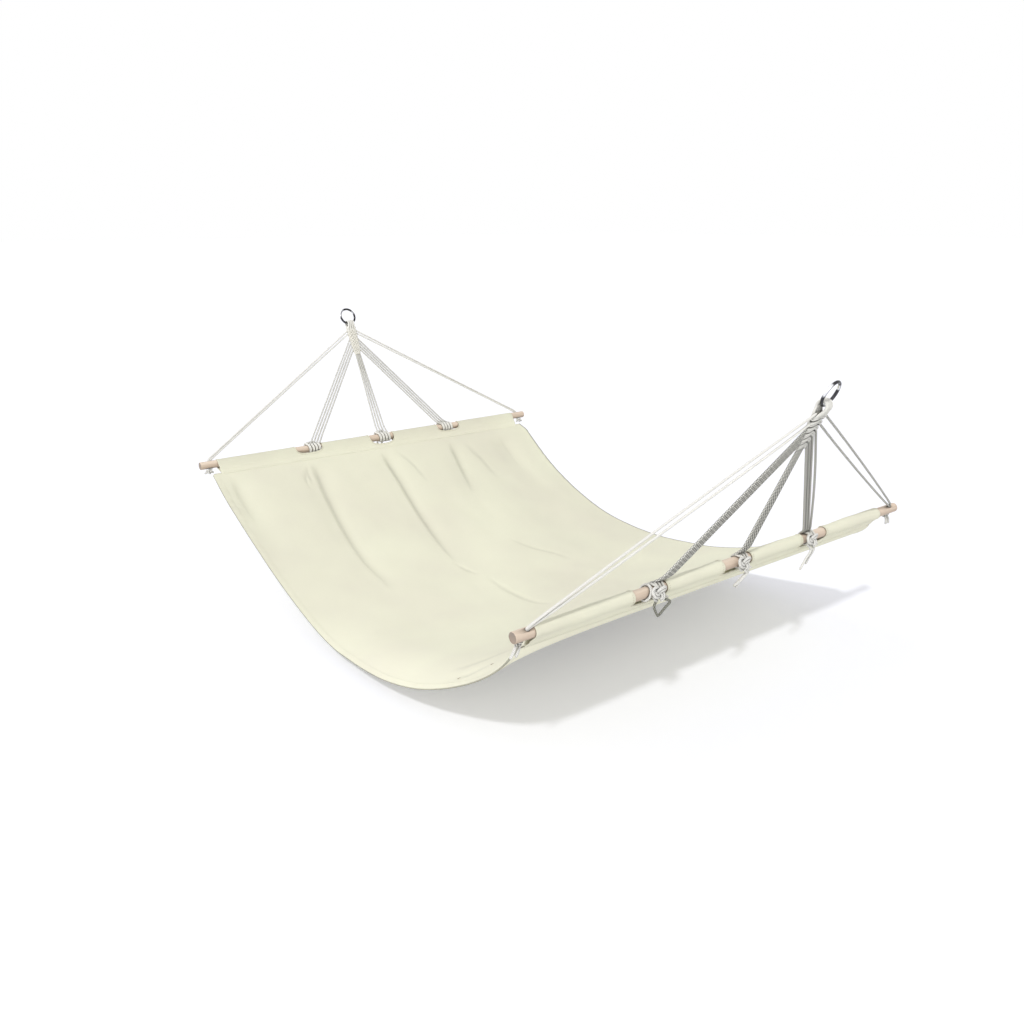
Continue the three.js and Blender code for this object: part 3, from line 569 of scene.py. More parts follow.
PAIR_LEAVES = {"left": (54, 66), "right": (50, 74)}
GROUP_LEAVES = (84, 98, 112, 126)
LAST_CORDS_LEAVE = 144
LAST_CORD_SPACING = 6.8
CLEW_SECTIONS = ((48, 20, 10), (70, 20, 10), (142, 15.5, 6), (150, 14.5, 5))
LANDING_DEG = 115
PAIR_BOW = {"left": -0.6, "right": 3.5}
NEAR_PAIR = ("right", -1)
NEAR_PAIR_BOW = 2.6
FRONT_VIEW = (-0.75, 0.59, -0.30)
LOOSE_STRAND = ("right", 2, 0)
LOOSE_BOW = 7
CLEW_INSET = 7
PAIR_ASIDE = 3.3
KNEE_AT, BESIDE_AT = 24, 44
KNEE_INWARD = 6
TURN_AHEAD = 0.12
MIDDLE_GROUP_UP, MIDDLE_GROUP_PINCH = 12, 0.8
MOUTH_ABOVE, INSIDE_HEIGHT, INSIDE_PINCH = 3, 2, 0.75
PATH_STEP = 12


def clew_half(down):
    """Half the clew's width and half its thickness at a distance from the ring's centre."""
    places, widths, thicks = zip(*CLEW_SECTIONS)
    return np.interp(down, places, widths), np.interp(down, places, thicks)


def on_hole_line(side, height):
    return PULL * height + ACROSS * side * CORD_HOLE_PLACE


def winding_point(end, place, turns):
    angle = math.pi / 2 + turns * 2 * math.pi
    y = WINDINGS[end][place] + WINDING_PITCH[end] * (turns - WINDING_TURNS / 2)
    return np.array([WINDING_RADIUS * math.cos(angle), y, WINDING_RADIUS * math.sin(angle)])


def strand(end, name, path, replaced, material):
    """One cord run of a fan: taut from the clew to the bar."""
    body = Body()
    body.tube(path, CORD_RADIUS, sides=12)
    obj = body.mesh(name, material, end)
    world = (np.array(path) * ((-1, 1, 1) if end == "left" else (1, 1, 1)) + BAR_MIDDLE[end]) / 1000
    belong(obj, f"{end}_end", replaced)
    tuple(world[0])
    return obj


def group_strand(end, place, k):
    """A cord that comes down the fan, over the top of the bar and into a turn of the winding."""
    side = place - 1
    order = 1.5 - k if side > 0 else k - 1.5
    if side == 0:
        start = in_fan(LAST_CORDS_LEAVE - MIDDLE_GROUP_UP, order * LAST_CORD_SPACING * MIDDLE_GROUP_PINCH)
    else:
        leaves = GROUP_LEAVES[k]
        start = in_fan(leaves, side * (clew_half(leaves)[0] - CLEW_INSET))
    turn = order + 1.5 + (LANDING_DEG - 90) / 360
    landing = winding_point(end, place, turn)
    ahead = winding_point(end, place, turn + TURN_AHEAD)
    axis = np.array([0, landing[1], 0])
    beside = axis + unit(start - axis) * BESIDE_AT
    knee = axis + unit(start - axis) * KNEE_AT
    t = np.linspace(0, 1, 7)[1:, None]
    bend = (1 - t) ** 2 * beside + 2 * (1 - t) * t * (knee - [KNEE_INWARD, 0, 0]) + t**2 * landing
    straight = np.linspace(start, beside, 24)
    if (end, place, k) == LOOSE_STRAND:
        straight = straight + ACROSS * LOOSE_BOW * np.sin(np.linspace(0, math.pi, 24))[:, None]
    path = even(np.vstack([straight, bend, ahead[None]]), PATH_STEP)
    material = SHADED_CORD if end == "right" else LEFT_CORD
    where = PLACES[place]
    return strand(end, f"{end}_strand_{where}_{k + 1}", path, f"{end}_cord_{where}_{k + 1}", material)


def end_strand(end, side, k):
    """A cord of an end pair, which runs down into the cross hole near the bar's tip."""
    leaves = PAIR_LEAVES[end][k]
    start = in_fan(leaves, side * (clew_half(leaves)[0] - CLEW_INSET))
    mouth = on_hole_line(side, BAR_RADIUS + MOUTH_ABOVE)
    run = unit(mouth - start)
    aside = unit(np.cross(run, FACE))
    aside *= np.sign(aside[1] * side)
    way = 1 if k == 0 else -1
    shift = way * PAIR_ASIDE
    knee = mouth + aside * shift
    inside = on_hole_line(side, INSIDE_HEIGHT) + aside * shift * INSIDE_PINCH
    last = smooth_path([knee - run * 10, knee + PULL * -1, inside], 3)
    run_down = np.linspace(start, knee, 30)
    parted, bow = aside, PAIR_BOW[end]
    if (end, side) == NEAR_PAIR:
        parted, bow = unit(np.cross(run, FRONT_VIEW)), NEAR_PAIR_BOW
        parted = parted * np.sign(parted[2])
    sway = np.sin(np.linspace(0, math.pi, 30)) ** 0.6 * way * bow
    path = even(np.vstack([(run_down + parted * sway[:, None])[:-1], last]), PATH_STEP)
    where = PLACES[side + 1]
    material = SHADED_CORD if end == "right" and side > 0 else WHITE_CORD
    return strand(end, f"{end}_end_strand_{where}_{k + 1}", path, f"{end}_end_cord_{where}_{k + 1}", material)


for end in FACING:
    for side in (-1, 1):
        for k in range(2):
            end_strand(end, side, k)
    for place in range(3):
        for k in range(4):
            group_strand(end, place, k)

# Bars and rings

EDGE_ROUND = 1.5
BAR_COLUMNS = 56
WELD_SWELL, WELD_AT_DEG, WELD_REACH_DEG = 0.07, 150, 5


def spreader_bar(end):
    """A turned dowel with eased ends, and a cross hole near each tip."""
    half = BAR_LENGTH / 2
    turn = np.radians([0, 30, 60, 90])
    rims = [(BAR_RADIUS - EDGE_ROUND + EDGE_ROUND * math.sin(a), half - EDGE_ROUND + EDGE_ROUND * math.cos(a))
            for a in turn]
    face = [(0.05, half), (BAR_RADIUS * 0.5, half)]
    profile = [(r, -y) for r, y in face + rims] + [(BAR_RADIUS, y) for y in np.linspace(-620, 620, 32)]
    profile += [(r, y) for r, y in (face + rims)[::-1]]
    angle = np.arange(BAR_COLUMNS) * 2 * math.pi / BAR_COLUMNS
    rows = [[(r * math.sin(a), y, r * math.cos(a)) for a in angle] for r, y in profile]
    body = Body()
    body.grid(rows, np.arange(BAR_COLUMNS + 1) / BAR_COLUMNS, [y / 1000 for r, y in profile], closed=True,
              caps=(True, True))
    obj = body.mesh(f"{end}_dowel", WOOD, end)
    mark_ends(obj, half)
    drill = Body()
    for side in (-1, 1):
        drill.tube([on_hole_line(side, -30), on_hole_line(side, 30)], CORD_HOLE_RADIUS, 24, ends="flat")
    cutter = drill.mesh(f"{end}_drill", WOOD, end)
    difference = obj.modifiers.new("holes", "BOOLEAN")
    difference.operation = "DIFFERENCE"
    difference.solver = "EXACT"
    difference.object = cutter
    apply_modifiers(obj)
    bpy.data.objects.remove(cutter)
    belong(obj, f"{end}_end", f"{end}_spreader_bar")


def mark_ends(obj, half):
    """Moves the end faces' UVs past 1.2, where the wood shows end grain."""
    middle = BAR_MIDDLE["left"][1] / 1000
    layer = obj.data.uv_layers[0].data
    for face in obj.data.polygons:
        if abs(face.normal.y) > 0.9 and abs(abs(face.center.y - middle) - half / 1000) < 0.0004:
            for loop in face.loop_indices:
                layer[loop].uv = (2.0, layer[loop].uv[1])


def apply_modifiers(obj):
    graph = bpy.context.evaluated_depsgraph_get()
    made = bpy.data.meshes.new_from_object(obj.evaluated_get(graph))
    obj.modifiers.clear()
    obj.data = made


def ring(end):
    """A welded ring of round wire; the right one is turned a little about the pull."""
    steps, sides = 96, 28
    turn = math.radians(RING_TURN_DEG[end])
    side = ACROSS * math.cos(turn) - FACE * math.sin(turn)
    axis = FACE * math.cos(turn) + ACROSS * math.sin(turn)
    body = Body()
    rows = []
    for s in range(steps + 1):
        a = 2 * math.pi * s / steps
        outward = side * math.sin(a) + PULL * math.cos(a)
        swell = 1 + WELD_SWELL * math.exp(-((math.degrees(a) - WELD_AT_DEG) / WELD_REACH_DEG) ** 2)
        rows.append([RING_CENTRE + outward * (RING_RADIUS + RING_WIRE_RADIUS * swell * math.sin(b))
                     + axis * RING_WIRE_RADIUS * swell * math.cos(b)
                     for b in np.arange(sides) * 2 * math.pi / sides])
    body.grid(rows, np.arange(sides + 1) / sides, np.arange(steps + 1) / steps, closed=True)
    obj = body.mesh(f"{end}_steel_ring", STEEL, end)
    weld(obj)
    belong(obj, "rings", f"{end}_ring")


def weld(obj, distance=0.00001):
    modifier = obj.modifiers.new("weld", "WELD")
    modifier.merge_threshold = distance
    apply_modifiers(obj)


for end in FACING:
    spreader_bar(end)
    ring(end)

# Clews

BRAID_STRANDS = 8
BRAID_RATE = 2 * math.pi / 96
BRAID_START = 42
BRAID_END = 151
BRAID_STRAND_RADIUS = 3.3
BRAID_LIFT = 1.7
BRAID_TUCKED_TOP, BRAID_TUCKED_END = (3.0, 10), (2.0, 14)
SQUARENESS = 3.5
CHEVRON_PLACES = (50, 146, 16)
CHEVRON_DROP = 12
CHEVRON_CORD = 2.8
CORE_DOWNS = (44, 48, 70, 100, 130, 144, 149)
CORE_INSET = 3.6
LOOPS = ((-10.4, 18.0, 12.2), (-3.5, 18.8, 11.4), (3.5, 18.8, 11.4), (10.4, 18.0, 12.2))


def on_clew(down, angle, inset):
    """A point under the clew's surface, at an angle round it."""
    width, thick = clew_half(down)
    c, s = math.cos(angle), math.sin(angle)
    scale = (abs(c) ** SQUARENESS + abs(s) ** SQUARENESS) ** (-1 / SQUARENESS)
    return in_fan(down, (width - inset) * s * scale, (thick - inset) * c * scale)


def braid(body):
    """Strands that run both ways round the core and pass over and under each other."""
    for way in (-1, 1):
        for k in range(BRAID_STRANDS):
            path = []
            for d in np.arange(BRAID_START, BRAID_END, 2.0):
                angle = 2 * math.pi * k / BRAID_STRANDS + way * BRAID_RATE * (d - BRAID_START)
                lift = way * BRAID_LIFT * math.cos(BRAID_STRANDS * BRAID_RATE * (d - BRAID_START))
                (deep, reach), (deep_end, reach_end) = BRAID_TUCKED_TOP, BRAID_TUCKED_END
                tuck = (deep * (1 - ease((d - BRAID_START) / reach))
                        + deep_end * ease((d - BRAID_END + reach_end) / reach_end))
                path.append(on_clew(d, angle, BRAID_STRAND_RADIUS + BRAID_LIFT - lift + tuck))
            body.tube(smooth_path(path, 2.5), BRAID_STRAND_RADIUS, sides=10)


def chevrons(body):
    """Doubled cords laid round the core one below the other, each highest in the middle of both faces."""
    for down in np.arange(*CHEVRON_PLACES):
        for shift in (-CHEVRON_CORD, CHEVRON_CORD):
            angles = np.linspace(0, 2 * math.pi, 72)
            path = [on_clew(down + shift + CHEVRON_DROP * abs(math.sin(a)) ** 1.5, a, CHEVRON_CORD) for a in angles]
            body.tube(even(path, 2.5), CHEVRON_CORD, sides=10)


def clew(end):
    """Cords looped over the ring's wire and plaited flat below it."""
    body, loops, inner = Body(), Body(), Body()
    deeper = 2.0 if end == "right" else 0
    rows = [[on_clew(d, 2 * math.pi * k / 24, CORE_INSET + more) for k in range(24)][::-1]
            for d, more in zip(CORE_DOWNS, (4 + deeper, deeper, deeper, deeper, deeper / 2, 0.4, 1.6))]
    inner.grid(rows, np.arange(25) / 24, [d / 1000 for d in CORE_DOWNS], closed=True, caps=(True, True))
    if end == "right":
        chevrons(body)
    else:
        braid(body)
    for across, top, wide in LOOPS:
        lean = -across * math.tan(math.radians(RING_TURN_DEG[end]))
        legs = [(62, 1.35, 3.5, 0), (50, 1.35, 7.0, 0.3), (41, 1.1, 9.6, 0.7), (30, 1, wide, 1),
                (23, 1, wide * 0.86, 1), (top + 0.6, 1, wide * 0.45, 1)]
        front = [in_fan(down, across * spread, out + lean * share) for down, spread, out, share in legs]
        back = [in_fan(down, across * spread, -out + lean * share) for down, spread, out, share in legs[::-1]]
        loops.tube(smooth_path(front + [in_fan(top, across, lean)] + back, 2.0), BRAID_STRAND_RADIUS, sides=12)
    plaited = body.mesh(f"{end}_plaited_clew", KNOT_CORD if end == "right" else LEFT_CLEW_CORD, end)
    looped = loops.mesh(f"{end}_clew_loops", WHITE_CORD, end)
    core = inner.mesh(f"{end}_clew_core", CORE_CORD if end == "right" else CORD, end)
    for obj in (plaited, looped, core):
        belong(obj, f"{end}_end", f"{end}_clew")


for end in FACING:
    clew(end)

# Windings and knots

WINDING_LINES = {"left": (-1.7, 1.7), "right": (0,)}


def winding(end, place):
    """The cords' turns round the bar, one unbroken tube that comes from the knot and goes back to it."""
    turns = np.linspace(0, WINDING_TURNS, 120)
    wound = [winding_point(end, place, t) for t in turns]
    stub = np.array([KNOT_FACE + 2, 0, 0])
    path = even([wound[0] + stub, *wound, wound[-1] + stub], 3)
    body = Body()
    for aside in WINDING_LINES[end]:
        body.tube(path + ACROSS * aside, CORD_RADIUS, sides=14)
    obj = body.mesh(f"{end}_turns_{PLACES[place]}", WHITE_CORD if end == "left" else CORD, end)
    belong(obj, f"{end}_end", f"{end}_winding_{PLACES[place]}")


KNOT_LINES = 2
TREFOIL_WIDTH = 6.6
TREFOIL_HEIGHT = 5.2
TREFOIL_DEPTH = 4.2
TREFOIL_LIFT = 3
KNOT_OUT = 8.5
KNOT_SPACING = 6.2
KNOT_CORD_RADIUS = 3.3
TAIL_RADIUS = 3.2
FRONT_KNOT = ("right", 0)
FRONT_LOOP = {"radius": 16.8, "aside": -15, "sway": 7}


def trefoil(share, count):
    """The run of an overhand knot, across, up and out, open at the bottom where its tails leave."""
    t = np.linspace(math.pi * (1 + share), math.pi * (3 - share), count)
    return np.sin(t) + 2 * np.sin(2 * t), np.cos(t) - 2 * np.cos(2 * t), -np.sin(3 * t)


def ribbon(path, count, spacing):
    """Several paths side by side along one path."""
    flat = np.cross(carried_frames(path)[0], np.array([1.0, 0, 0]))
    flat /= np.maximum(np.linalg.norm(flat, axis=1), 1e-6)[:, None]
    return [path + flat * spacing * (k - (count - 1) / 2) for k in range(count)]


TAILS = {
    ("right", 0): [
        [(24, -310, -14), (27, -321, -24), (26, -316, -38), (25, -306, -53)],
        [(24, -292, -14), (27, -270, -26), (26, -284, -38), (25, -302, -52)],
    ],
    ("right", 1): [
        [(25, 2, -12), (27, 7, -21), (26, -6, -27), (26, -15, -31), (25, -42, -48)],
        [(28, -4, -13), (30, 2, -22), (29, -10, -28), (29, -20, -34), (28, -38, -50)],
        [(30, -12, -12), (33, -6, -22), (32, -16, -29), (31, -26, -37), (29, -44, -44)],
    ],
    ("right", 2): [
        [(25, 256, -12), (28, 262, -26), (27, 246, -44), (26, 226, -69)],
        [(25, 268, -12), (29, 274, -24), (28, 258, -42), (27, 247, -58)],
    ],
    ("left", 0): [
        [(25, -284, -12), (28, -290, -26), (27, -284, -42), (24, -292, -58)],
        [(25, -272, -12), (29, -268, -24), (28, -276, -38), (27, -270, -50)],
    ],
    ("left", 1): [
        [(25, 8, -12), (28, 3, -26), (27, 12, -42), (24, 5, -58)],
        [(25, 20, -12), (29, 26, -24), (28, 18, -38), (27, 22, -50)],
    ],
    ("left", 2): [
        [(25, 296, -12), (28, 292, -26), (27, 300, -42), (24, 292, -58)],
        [(25, 309, -12), (29, 313, -24), (28, 306, -38), (27, 311, -50)],
    ],
}


def group_knot(end, place):
    """An overhand knot in doubled cord on the outer side of the bar, with its tails."""
    middle = WINDINGS[end][place] + KNOT_ASIDE[end]
    body = Body()
    x, y, z = trefoil(0.06, 120)
    path = np.stack([KNOT_FACE + KNOT_OUT + TREFOIL_DEPTH * z, middle + TREFOIL_WIDTH * x,
                     TREFOIL_HEIGHT * y + TREFOIL_LIFT], 1)
    for line in ribbon(even(path, 2.5), KNOT_LINES, KNOT_SPACING):
        body.tube(line, KNOT_CORD_RADIUS)
    if (end, place) == FRONT_KNOT:
        turn = np.linspace(0, 2 * math.pi, 60)
        aside = middle + FRONT_LOOP["aside"] + FRONT_LOOP["sway"] * np.sin(turn)
        radius = FRONT_LOOP["radius"]
        body.tube(even(np.stack([radius * np.cos(turn), aside, radius * np.sin(turn)], 1), 3), TAIL_RADIUS)
    tails = Body()
    for points in TAILS[end, place]:
        tails.tube(smooth_path(points, 2.5), TAIL_RADIUS)
    hitch = body.mesh(f"{end}_hitch_{PLACES[place]}", KNOT_CORD, end)
    hung = tails.mesh(f"{end}_tails_{PLACES[place]}", TAIL_CORD if (end, place) == FRONT_KNOT else KNOT_CORD, end)
    for obj in (hitch, hung):
        belong(obj, f"{end}_end", f"{end}_knot_{PLACES[place]}")


STOPPER_ASIDE = {"left": 8, "right": 12}
STOPPER_CURL = {"left": 0, "right": 13}
STOPPER_TAILS = {"left": ((2, 9, -4), (1, 14, -5)), "right": ((3, 6, -13), (1, 7, -28))}
STOPPER_BELOW = BAR_RADIUS + 9.5
STOPPER_PAIR = 2.9
STOPPER_WIDTH, STOPPER_HEIGHT, STOPPER_DEPTH = 2.9, 2.2, 3.6


def stopper_knot(end, side):
    """The pair of cords below the bar's tip: out of the hole, into a small knot, with two short tails."""
    middle = on_hole_line(side, -STOPPER_BELOW) + ACROSS * side * STOPPER_ASIDE[end]
    body = Body()
    for shift in (-STOPPER_PAIR, STOPPER_PAIR):
        out_of_hole = [on_hole_line(side, 5) + ACROSS * shift, on_hole_line(side, -14) + ACROSS * shift]
        body.tube(smooth_path([*out_of_hole, middle + ACROSS * shift], 3), STOPPER_PAIR, sides=10)
    x, y, z = trefoil(0.05, 90)
    loop = (middle + np.outer(x * STOPPER_WIDTH, ACROSS) + np.outer(y * STOPPER_HEIGHT, PULL)
            + np.outer(z * STOPPER_DEPTH, FACE))
    body.tube(even(loop, 2), KNOT_CORD_RADIUS)
    tails = Body()
    for way in (-1, 1):
        curl = STOPPER_CURL[end] * side
        bends = [middle + (x, way * y + curl * share, z) for (x, y, z), share in zip(STOPPER_TAILS[end], (0.5, 1))]
        tails.tube(smooth_path([middle + ACROSS * way * 4, *bends], 2.5), TAIL_RADIUS)
    knot = body.mesh(f"{end}_stopper_{PLACES[side + 1]}", KNOT_CORD if end == "left" else SHADED_CORD, end)
    hung = tails.mesh(f"{end}_stopper_tails_{PLACES[side + 1]}", KNOT_CORD, end)
    for obj in (knot, hung):
        belong(obj, f"{end}_end", f"{end}_stopper_knot_{PLACES[side + 1]}")


for end in FACING:
    for place in range(3):
        winding(end, place)
        group_knot(end, place)
    for side in (-1, 1):
        stopper_knot(end, side)

# Cloth: the shape of the bed, which the sleeves follow

BED_WIDTH = 1350
CORNER_FLARE = 0.7
HEM_REACH = 54
FRONT_EDGE = {"sag": 356, "low": 40, "left": math.tan(math.radians(31)), "right": math.tan(math.radians(48))}
BACK_EDGE = {"sag": 318, "low": -30, "left": math.tan(math.radians(42)), "right": math.tan(math.radians(36))}
RIGHT_SLEEVE_SLOPE = math.radians(60)
SEAM_GAP = 0.9
ROLL_REACH = 110
DROOP = 55
DROOP_REACH = 70


def edge_height(edge, x):
    arm = np.where(x < edge["low"], HALF_SPAN + edge["low"], HALF_SPAN - edge["low"])
    slope = np.where(x < edge["low"], edge["left"], edge["right"])
    power = slope * arm / edge["sag"]
    return -edge["sag"] * (1 - (np.abs(x - edge["low"]) / arm) ** power)


def hung_height(x, y):
    """Between the two side edges; towards the right end the cloth rolls down along its front edge."""
    roll = np.exp(-(y + BED_WIDTH / 2) / ROLL_REACH)
    rightness = (x / HALF_SPAN + 1) / 2
    front = (0.5 - y / BED_WIDTH) * (1 + (roll - 1) * rightness)
    return edge_height(BACK_EDGE, x) * (1 - front) + edge_height(FRONT_EDGE, x) * front


def bed_height(x, y):
    """The cloth droops below the right sleeve, and inside that sleeve it follows its layers."""
    start = bed_end("right", y)
    slope = math.tan(RIGHT_SLEEVE_SLOPE)
    inward = np.maximum(0, start - x) / DROOP_REACH
    droop = ((HALF_SPAN - start) * slope + hung_height(start, y) + DROOP * inward) * np.exp(-inward)
    return np.where(x > start, (x - HALF_SPAN) * slope, hung_height(x, y) - droop)


def cloth_angle(end, y):
    share = y / BED_WIDTH + 0.5
    if end == "right":
        return RIGHT_SLEEVE_SLOPE + 0 * share
    return np.arctan(FRONT_EDGE[end] * (1 - share) + BACK_EDGE[end] * share)


def bed_end(end, y):
    return HALF_SPAN - HEM_REACH * np.cos(cloth_angle(end, y)) - SEAM_GAP


def width_share(x, y):
    share = np.ones_like(x)
    for end, facing in FACING.items():
        front, back = SLEEVES[end]
        reach = np.where(y < 0, -front, back) + CORNER_FLARE * (HALF_SPAN - facing * x)
        share = np.minimum(share, reach / (BED_WIDTH / 2))
    return share


# Sleeves

CLOTH_THICKNESS = 1.6
NOTCH_WIDTH = 106
NOTCH_DEPTHS = {"left": (25, 35, 25), "right": (23, 23, 23)}
NOTCH_ROUND = 2.8
STITCH_REACH = 46
SLEEVE_RADIUS = BAR_RADIUS + 0.4 + CLOTH_THICKNESS / 2
LAYER_ASIDE = CLOTH_THICKNESS / 2 + 0.1
SLEEVE_ROWS = (14, 34)
SLEEVE_REST = 26
STITCH_PITCH = 5.5
STITCH_LENGTH = 4.2
STITCH_RADIUS = 0.55
RIM_RADIUS = 1.5
RIM_LIFT = 0.45
RIM_STITCHES = 5
SEAM_REACHES = (46, 51)


def notch_edge(end, y):
    """How far down the cloth a cut-out reaches at a place along the bar, or None outside the cut-outs."""
    for middle, depth in zip(NOTCHES[end], NOTCH_DEPTHS[end]):
        inside = NOTCH_WIDTH / 2 - abs(y - middle)
        if inside > -1e-6:
            across = min(1.0, abs(y - middle) / (NOTCH_WIDTH / 2))
            return depth * (1 - across**NOTCH_ROUND) ** (1 / NOTCH_ROUND)
    return None


def sleeve_edge(end, y):
    """Where the grid's inner rows begin: on the cut-out's edge, and easing back beside it."""
    edge = notch_edge(end, y)
    if edge is not None:
        return HEM_REACH - edge
    beside = min(abs(y - m) - NOTCH_WIDTH / 2 for m in NOTCHES[end])
    return HEM_REACH + (SLEEVE_REST - HEM_REACH) * float(ease(beside / 45))


def sleeve_profile(q):
    """The cloth's middle surface across the bar, as (down the cloth, over it), and the way it faces."""
    reach = math.hypot(STITCH_REACH, LAYER_ASIDE)
    lean = math.acos(SLEEVE_RADIUS / reach)
    first = math.atan2(-LAYER_ASIDE, STITCH_REACH) - lean
    flat = HEM_REACH - STITCH_REACH
    straight = math.sqrt(reach**2 - SLEEVE_RADIUS**2)
    arc = 2 * math.pi + 2 * first
    total = 2 * flat + 2 * straight + arc * SLEEVE_RADIUS
    if q is None:
        return total
    mirror = q > total / 2
    p = total - q if mirror else q
    touch = np.array([SLEEVE_RADIUS * math.cos(first), SLEEVE_RADIUS * math.sin(first)])
    if p < flat:
        place, out = np.array([HEM_REACH - p, -LAYER_ASIDE]), np.array([0.0, -1.0])
    elif p < flat + straight:
        t = (p - flat) / straight
        corner = np.array([STITCH_REACH, -LAYER_ASIDE])
        place, out = corner + (touch - corner) * t, touch / SLEEVE_RADIUS
    else:
        angle = first - (p - flat - straight) / SLEEVE_RADIUS
        out = np.array([math.cos(angle), math.sin(angle)])
        place = SLEEVE_RADIUS * out
    return (place * (1, -1), out * (1, -1)) if mirror else (place, out)


def sleeve_columns(end):
    front, back = SLEEVES[end]
    edges = sorted([front, back] + [m + s * NOTCH_WIDTH / 2 for m in NOTCHES[end] for s in (-1, 1)])
    columns = [front]
    for a, b in zip(edges, edges[1:]):
        steps = max(2, round((b - a) / 4.0))
        inside = notch_edge(end, (a + b) / 2) is not None
        t = np.linspace(0, 1, steps + 1)[1:]
        columns += list(a + (b - a) * ((1 - np.cos(math.pi * t)) / 2 if inside else t))
    return columns


def sleeve_point(end, y, q, lift=0.0):
    angle = float(cloth_angle(end, y))
    down = np.array([-math.cos(angle), -math.sin(angle)])
    over = np.array([math.sin(angle), -math.cos(angle)])
    place, out = sleeve_profile(q)
    place = place + out * lift
    x, z = down * place[0] + over * place[1]
    return np.array([x, y, z])


def sleeve(end):
    """The bed's end folded round the bar and sewn to itself, with three rounded cut-outs."""
    total = sleeve_profile(None)
    columns = sleeve_columns(end)
    few, many = SLEEVE_ROWS
    high = 2 * few + many
    points, rows_q = [], []
    for y in columns:
        e = sleeve_edge(end, y)
        q = np.concatenate([np.linspace(0, e, few + 1), np.linspace(e, total - e, many + 1)[1:],
                            np.linspace(total - e, total, few + 1)[1:]])
        rows_q.append(q)
        points.append([sleeve_point(end, y, v, sleeve_slack(end, y, v, total)) for v in q])
    body = Body()
    points = np.array(points)
    wide = high + 1
    body.points.append(points.reshape(-1, 3))
    body.count = points.shape[0] * wide
    for c in range(len(columns) - 1):
        middle = (columns[c] + columns[c + 1]) / 2
        cut_out = notch_edge(end, middle) is not None
        for r in range(high):
            if cut_out and few <= r < few + many:
                continue
            a, b = c * wide + r, (c + 1) * wide + r
            body.faces.append((a, a + 1, b + 1, b))
            body.uvs.append(tuple((columns[i] / 1000, rows_q[i][j] / 1000)
                                  for i, j in ((c, r), (c, r + 1), (c + 1, r + 1), (c + 1, r))))
    obj = body.mesh(f"{end}_cloth_sleeve", SLEEVE_CANVAS[end], end)
    thicken(obj, CLOTH_THICKNESS)
    belong(obj, f"{end}_end", f"{end}_sleeve")
    sewing = sleeve_sewing(end, total)


def sleeve_slack(end, y, q, total):
    """Small wrinkles: long ones beside the stitched hem, none where the cloth is tight round the bar."""
    from_hem = min(q, total - q)
    side = 0.0 if q < total / 2 else 5.0
    place = np.array([y / 60.0, from_hem / 9.0, side + (3.0 if end == "left" else 8.0)])
    near_stitch = math.exp(-((from_hem - 22) / 12) ** 2)
    slack = 1.5 * near_stitch * noise.noise(Vector(place)) + 0.25 * noise.noise(Vector(place * 2.3))
    if end == "right":
        long_place = Vector((y / 190.0, 4.0, side))
        wave = math.sin(2 * math.pi * from_hem / 11 + 3 * noise.noise(long_place))
        patch = 0.5 + noise.noise(Vector((y / 110.0, 9.0, side)))
        slack += near_stitch * (1.6 + 1.1 * wave * max(0.0, patch))
        over_bar = float(ease((from_hem - 34) / 20))
        slack += over_bar * (1.1 + 1.6 * noise.noise(Vector((y / 70.0, from_hem / 40.0, 2.0))))
    return slack


def stitches(body, places, outs):
    """A row of sewn stitches: short flattened threads along a line, raised a little in their middle."""
    places, outs = np.asarray(places, float), np.asarray(outs, float)
    along = along_of(places)

    def at(values, where):
        return np.stack([np.interp(where, along, values[:, k]) for k in range(3)], -1)

    for start in np.arange(STITCH_PITCH / 2, along[-1] - STITCH_LENGTH, STITCH_PITCH):
        where = start + STITCH_LENGTH * np.array([0, 0.2, 0.5, 0.8, 1])
        line = at(places, where)
        out = unit(at(outs, where[2:3])[0])
        run = unit(line[-1] - line[0])
        side = np.cross(run, out)
        angle = np.arange(6) * math.pi / 3
        rows = []
        for point, wide, lift in zip(line, (0.35, 0.85, 1, 0.85, 0.35), (-0.3, 0.1, 0.25, 0.1, -0.3)):
            rows.append([point + out * (lift + 0.7 * STITCH_RADIUS * wide * math.sin(a))
                         + side * STITCH_RADIUS * wide * math.cos(a) for a in angle])
        body.grid(rows, np.arange(7) / 6, where / 1000, closed=True, caps=(True, True))


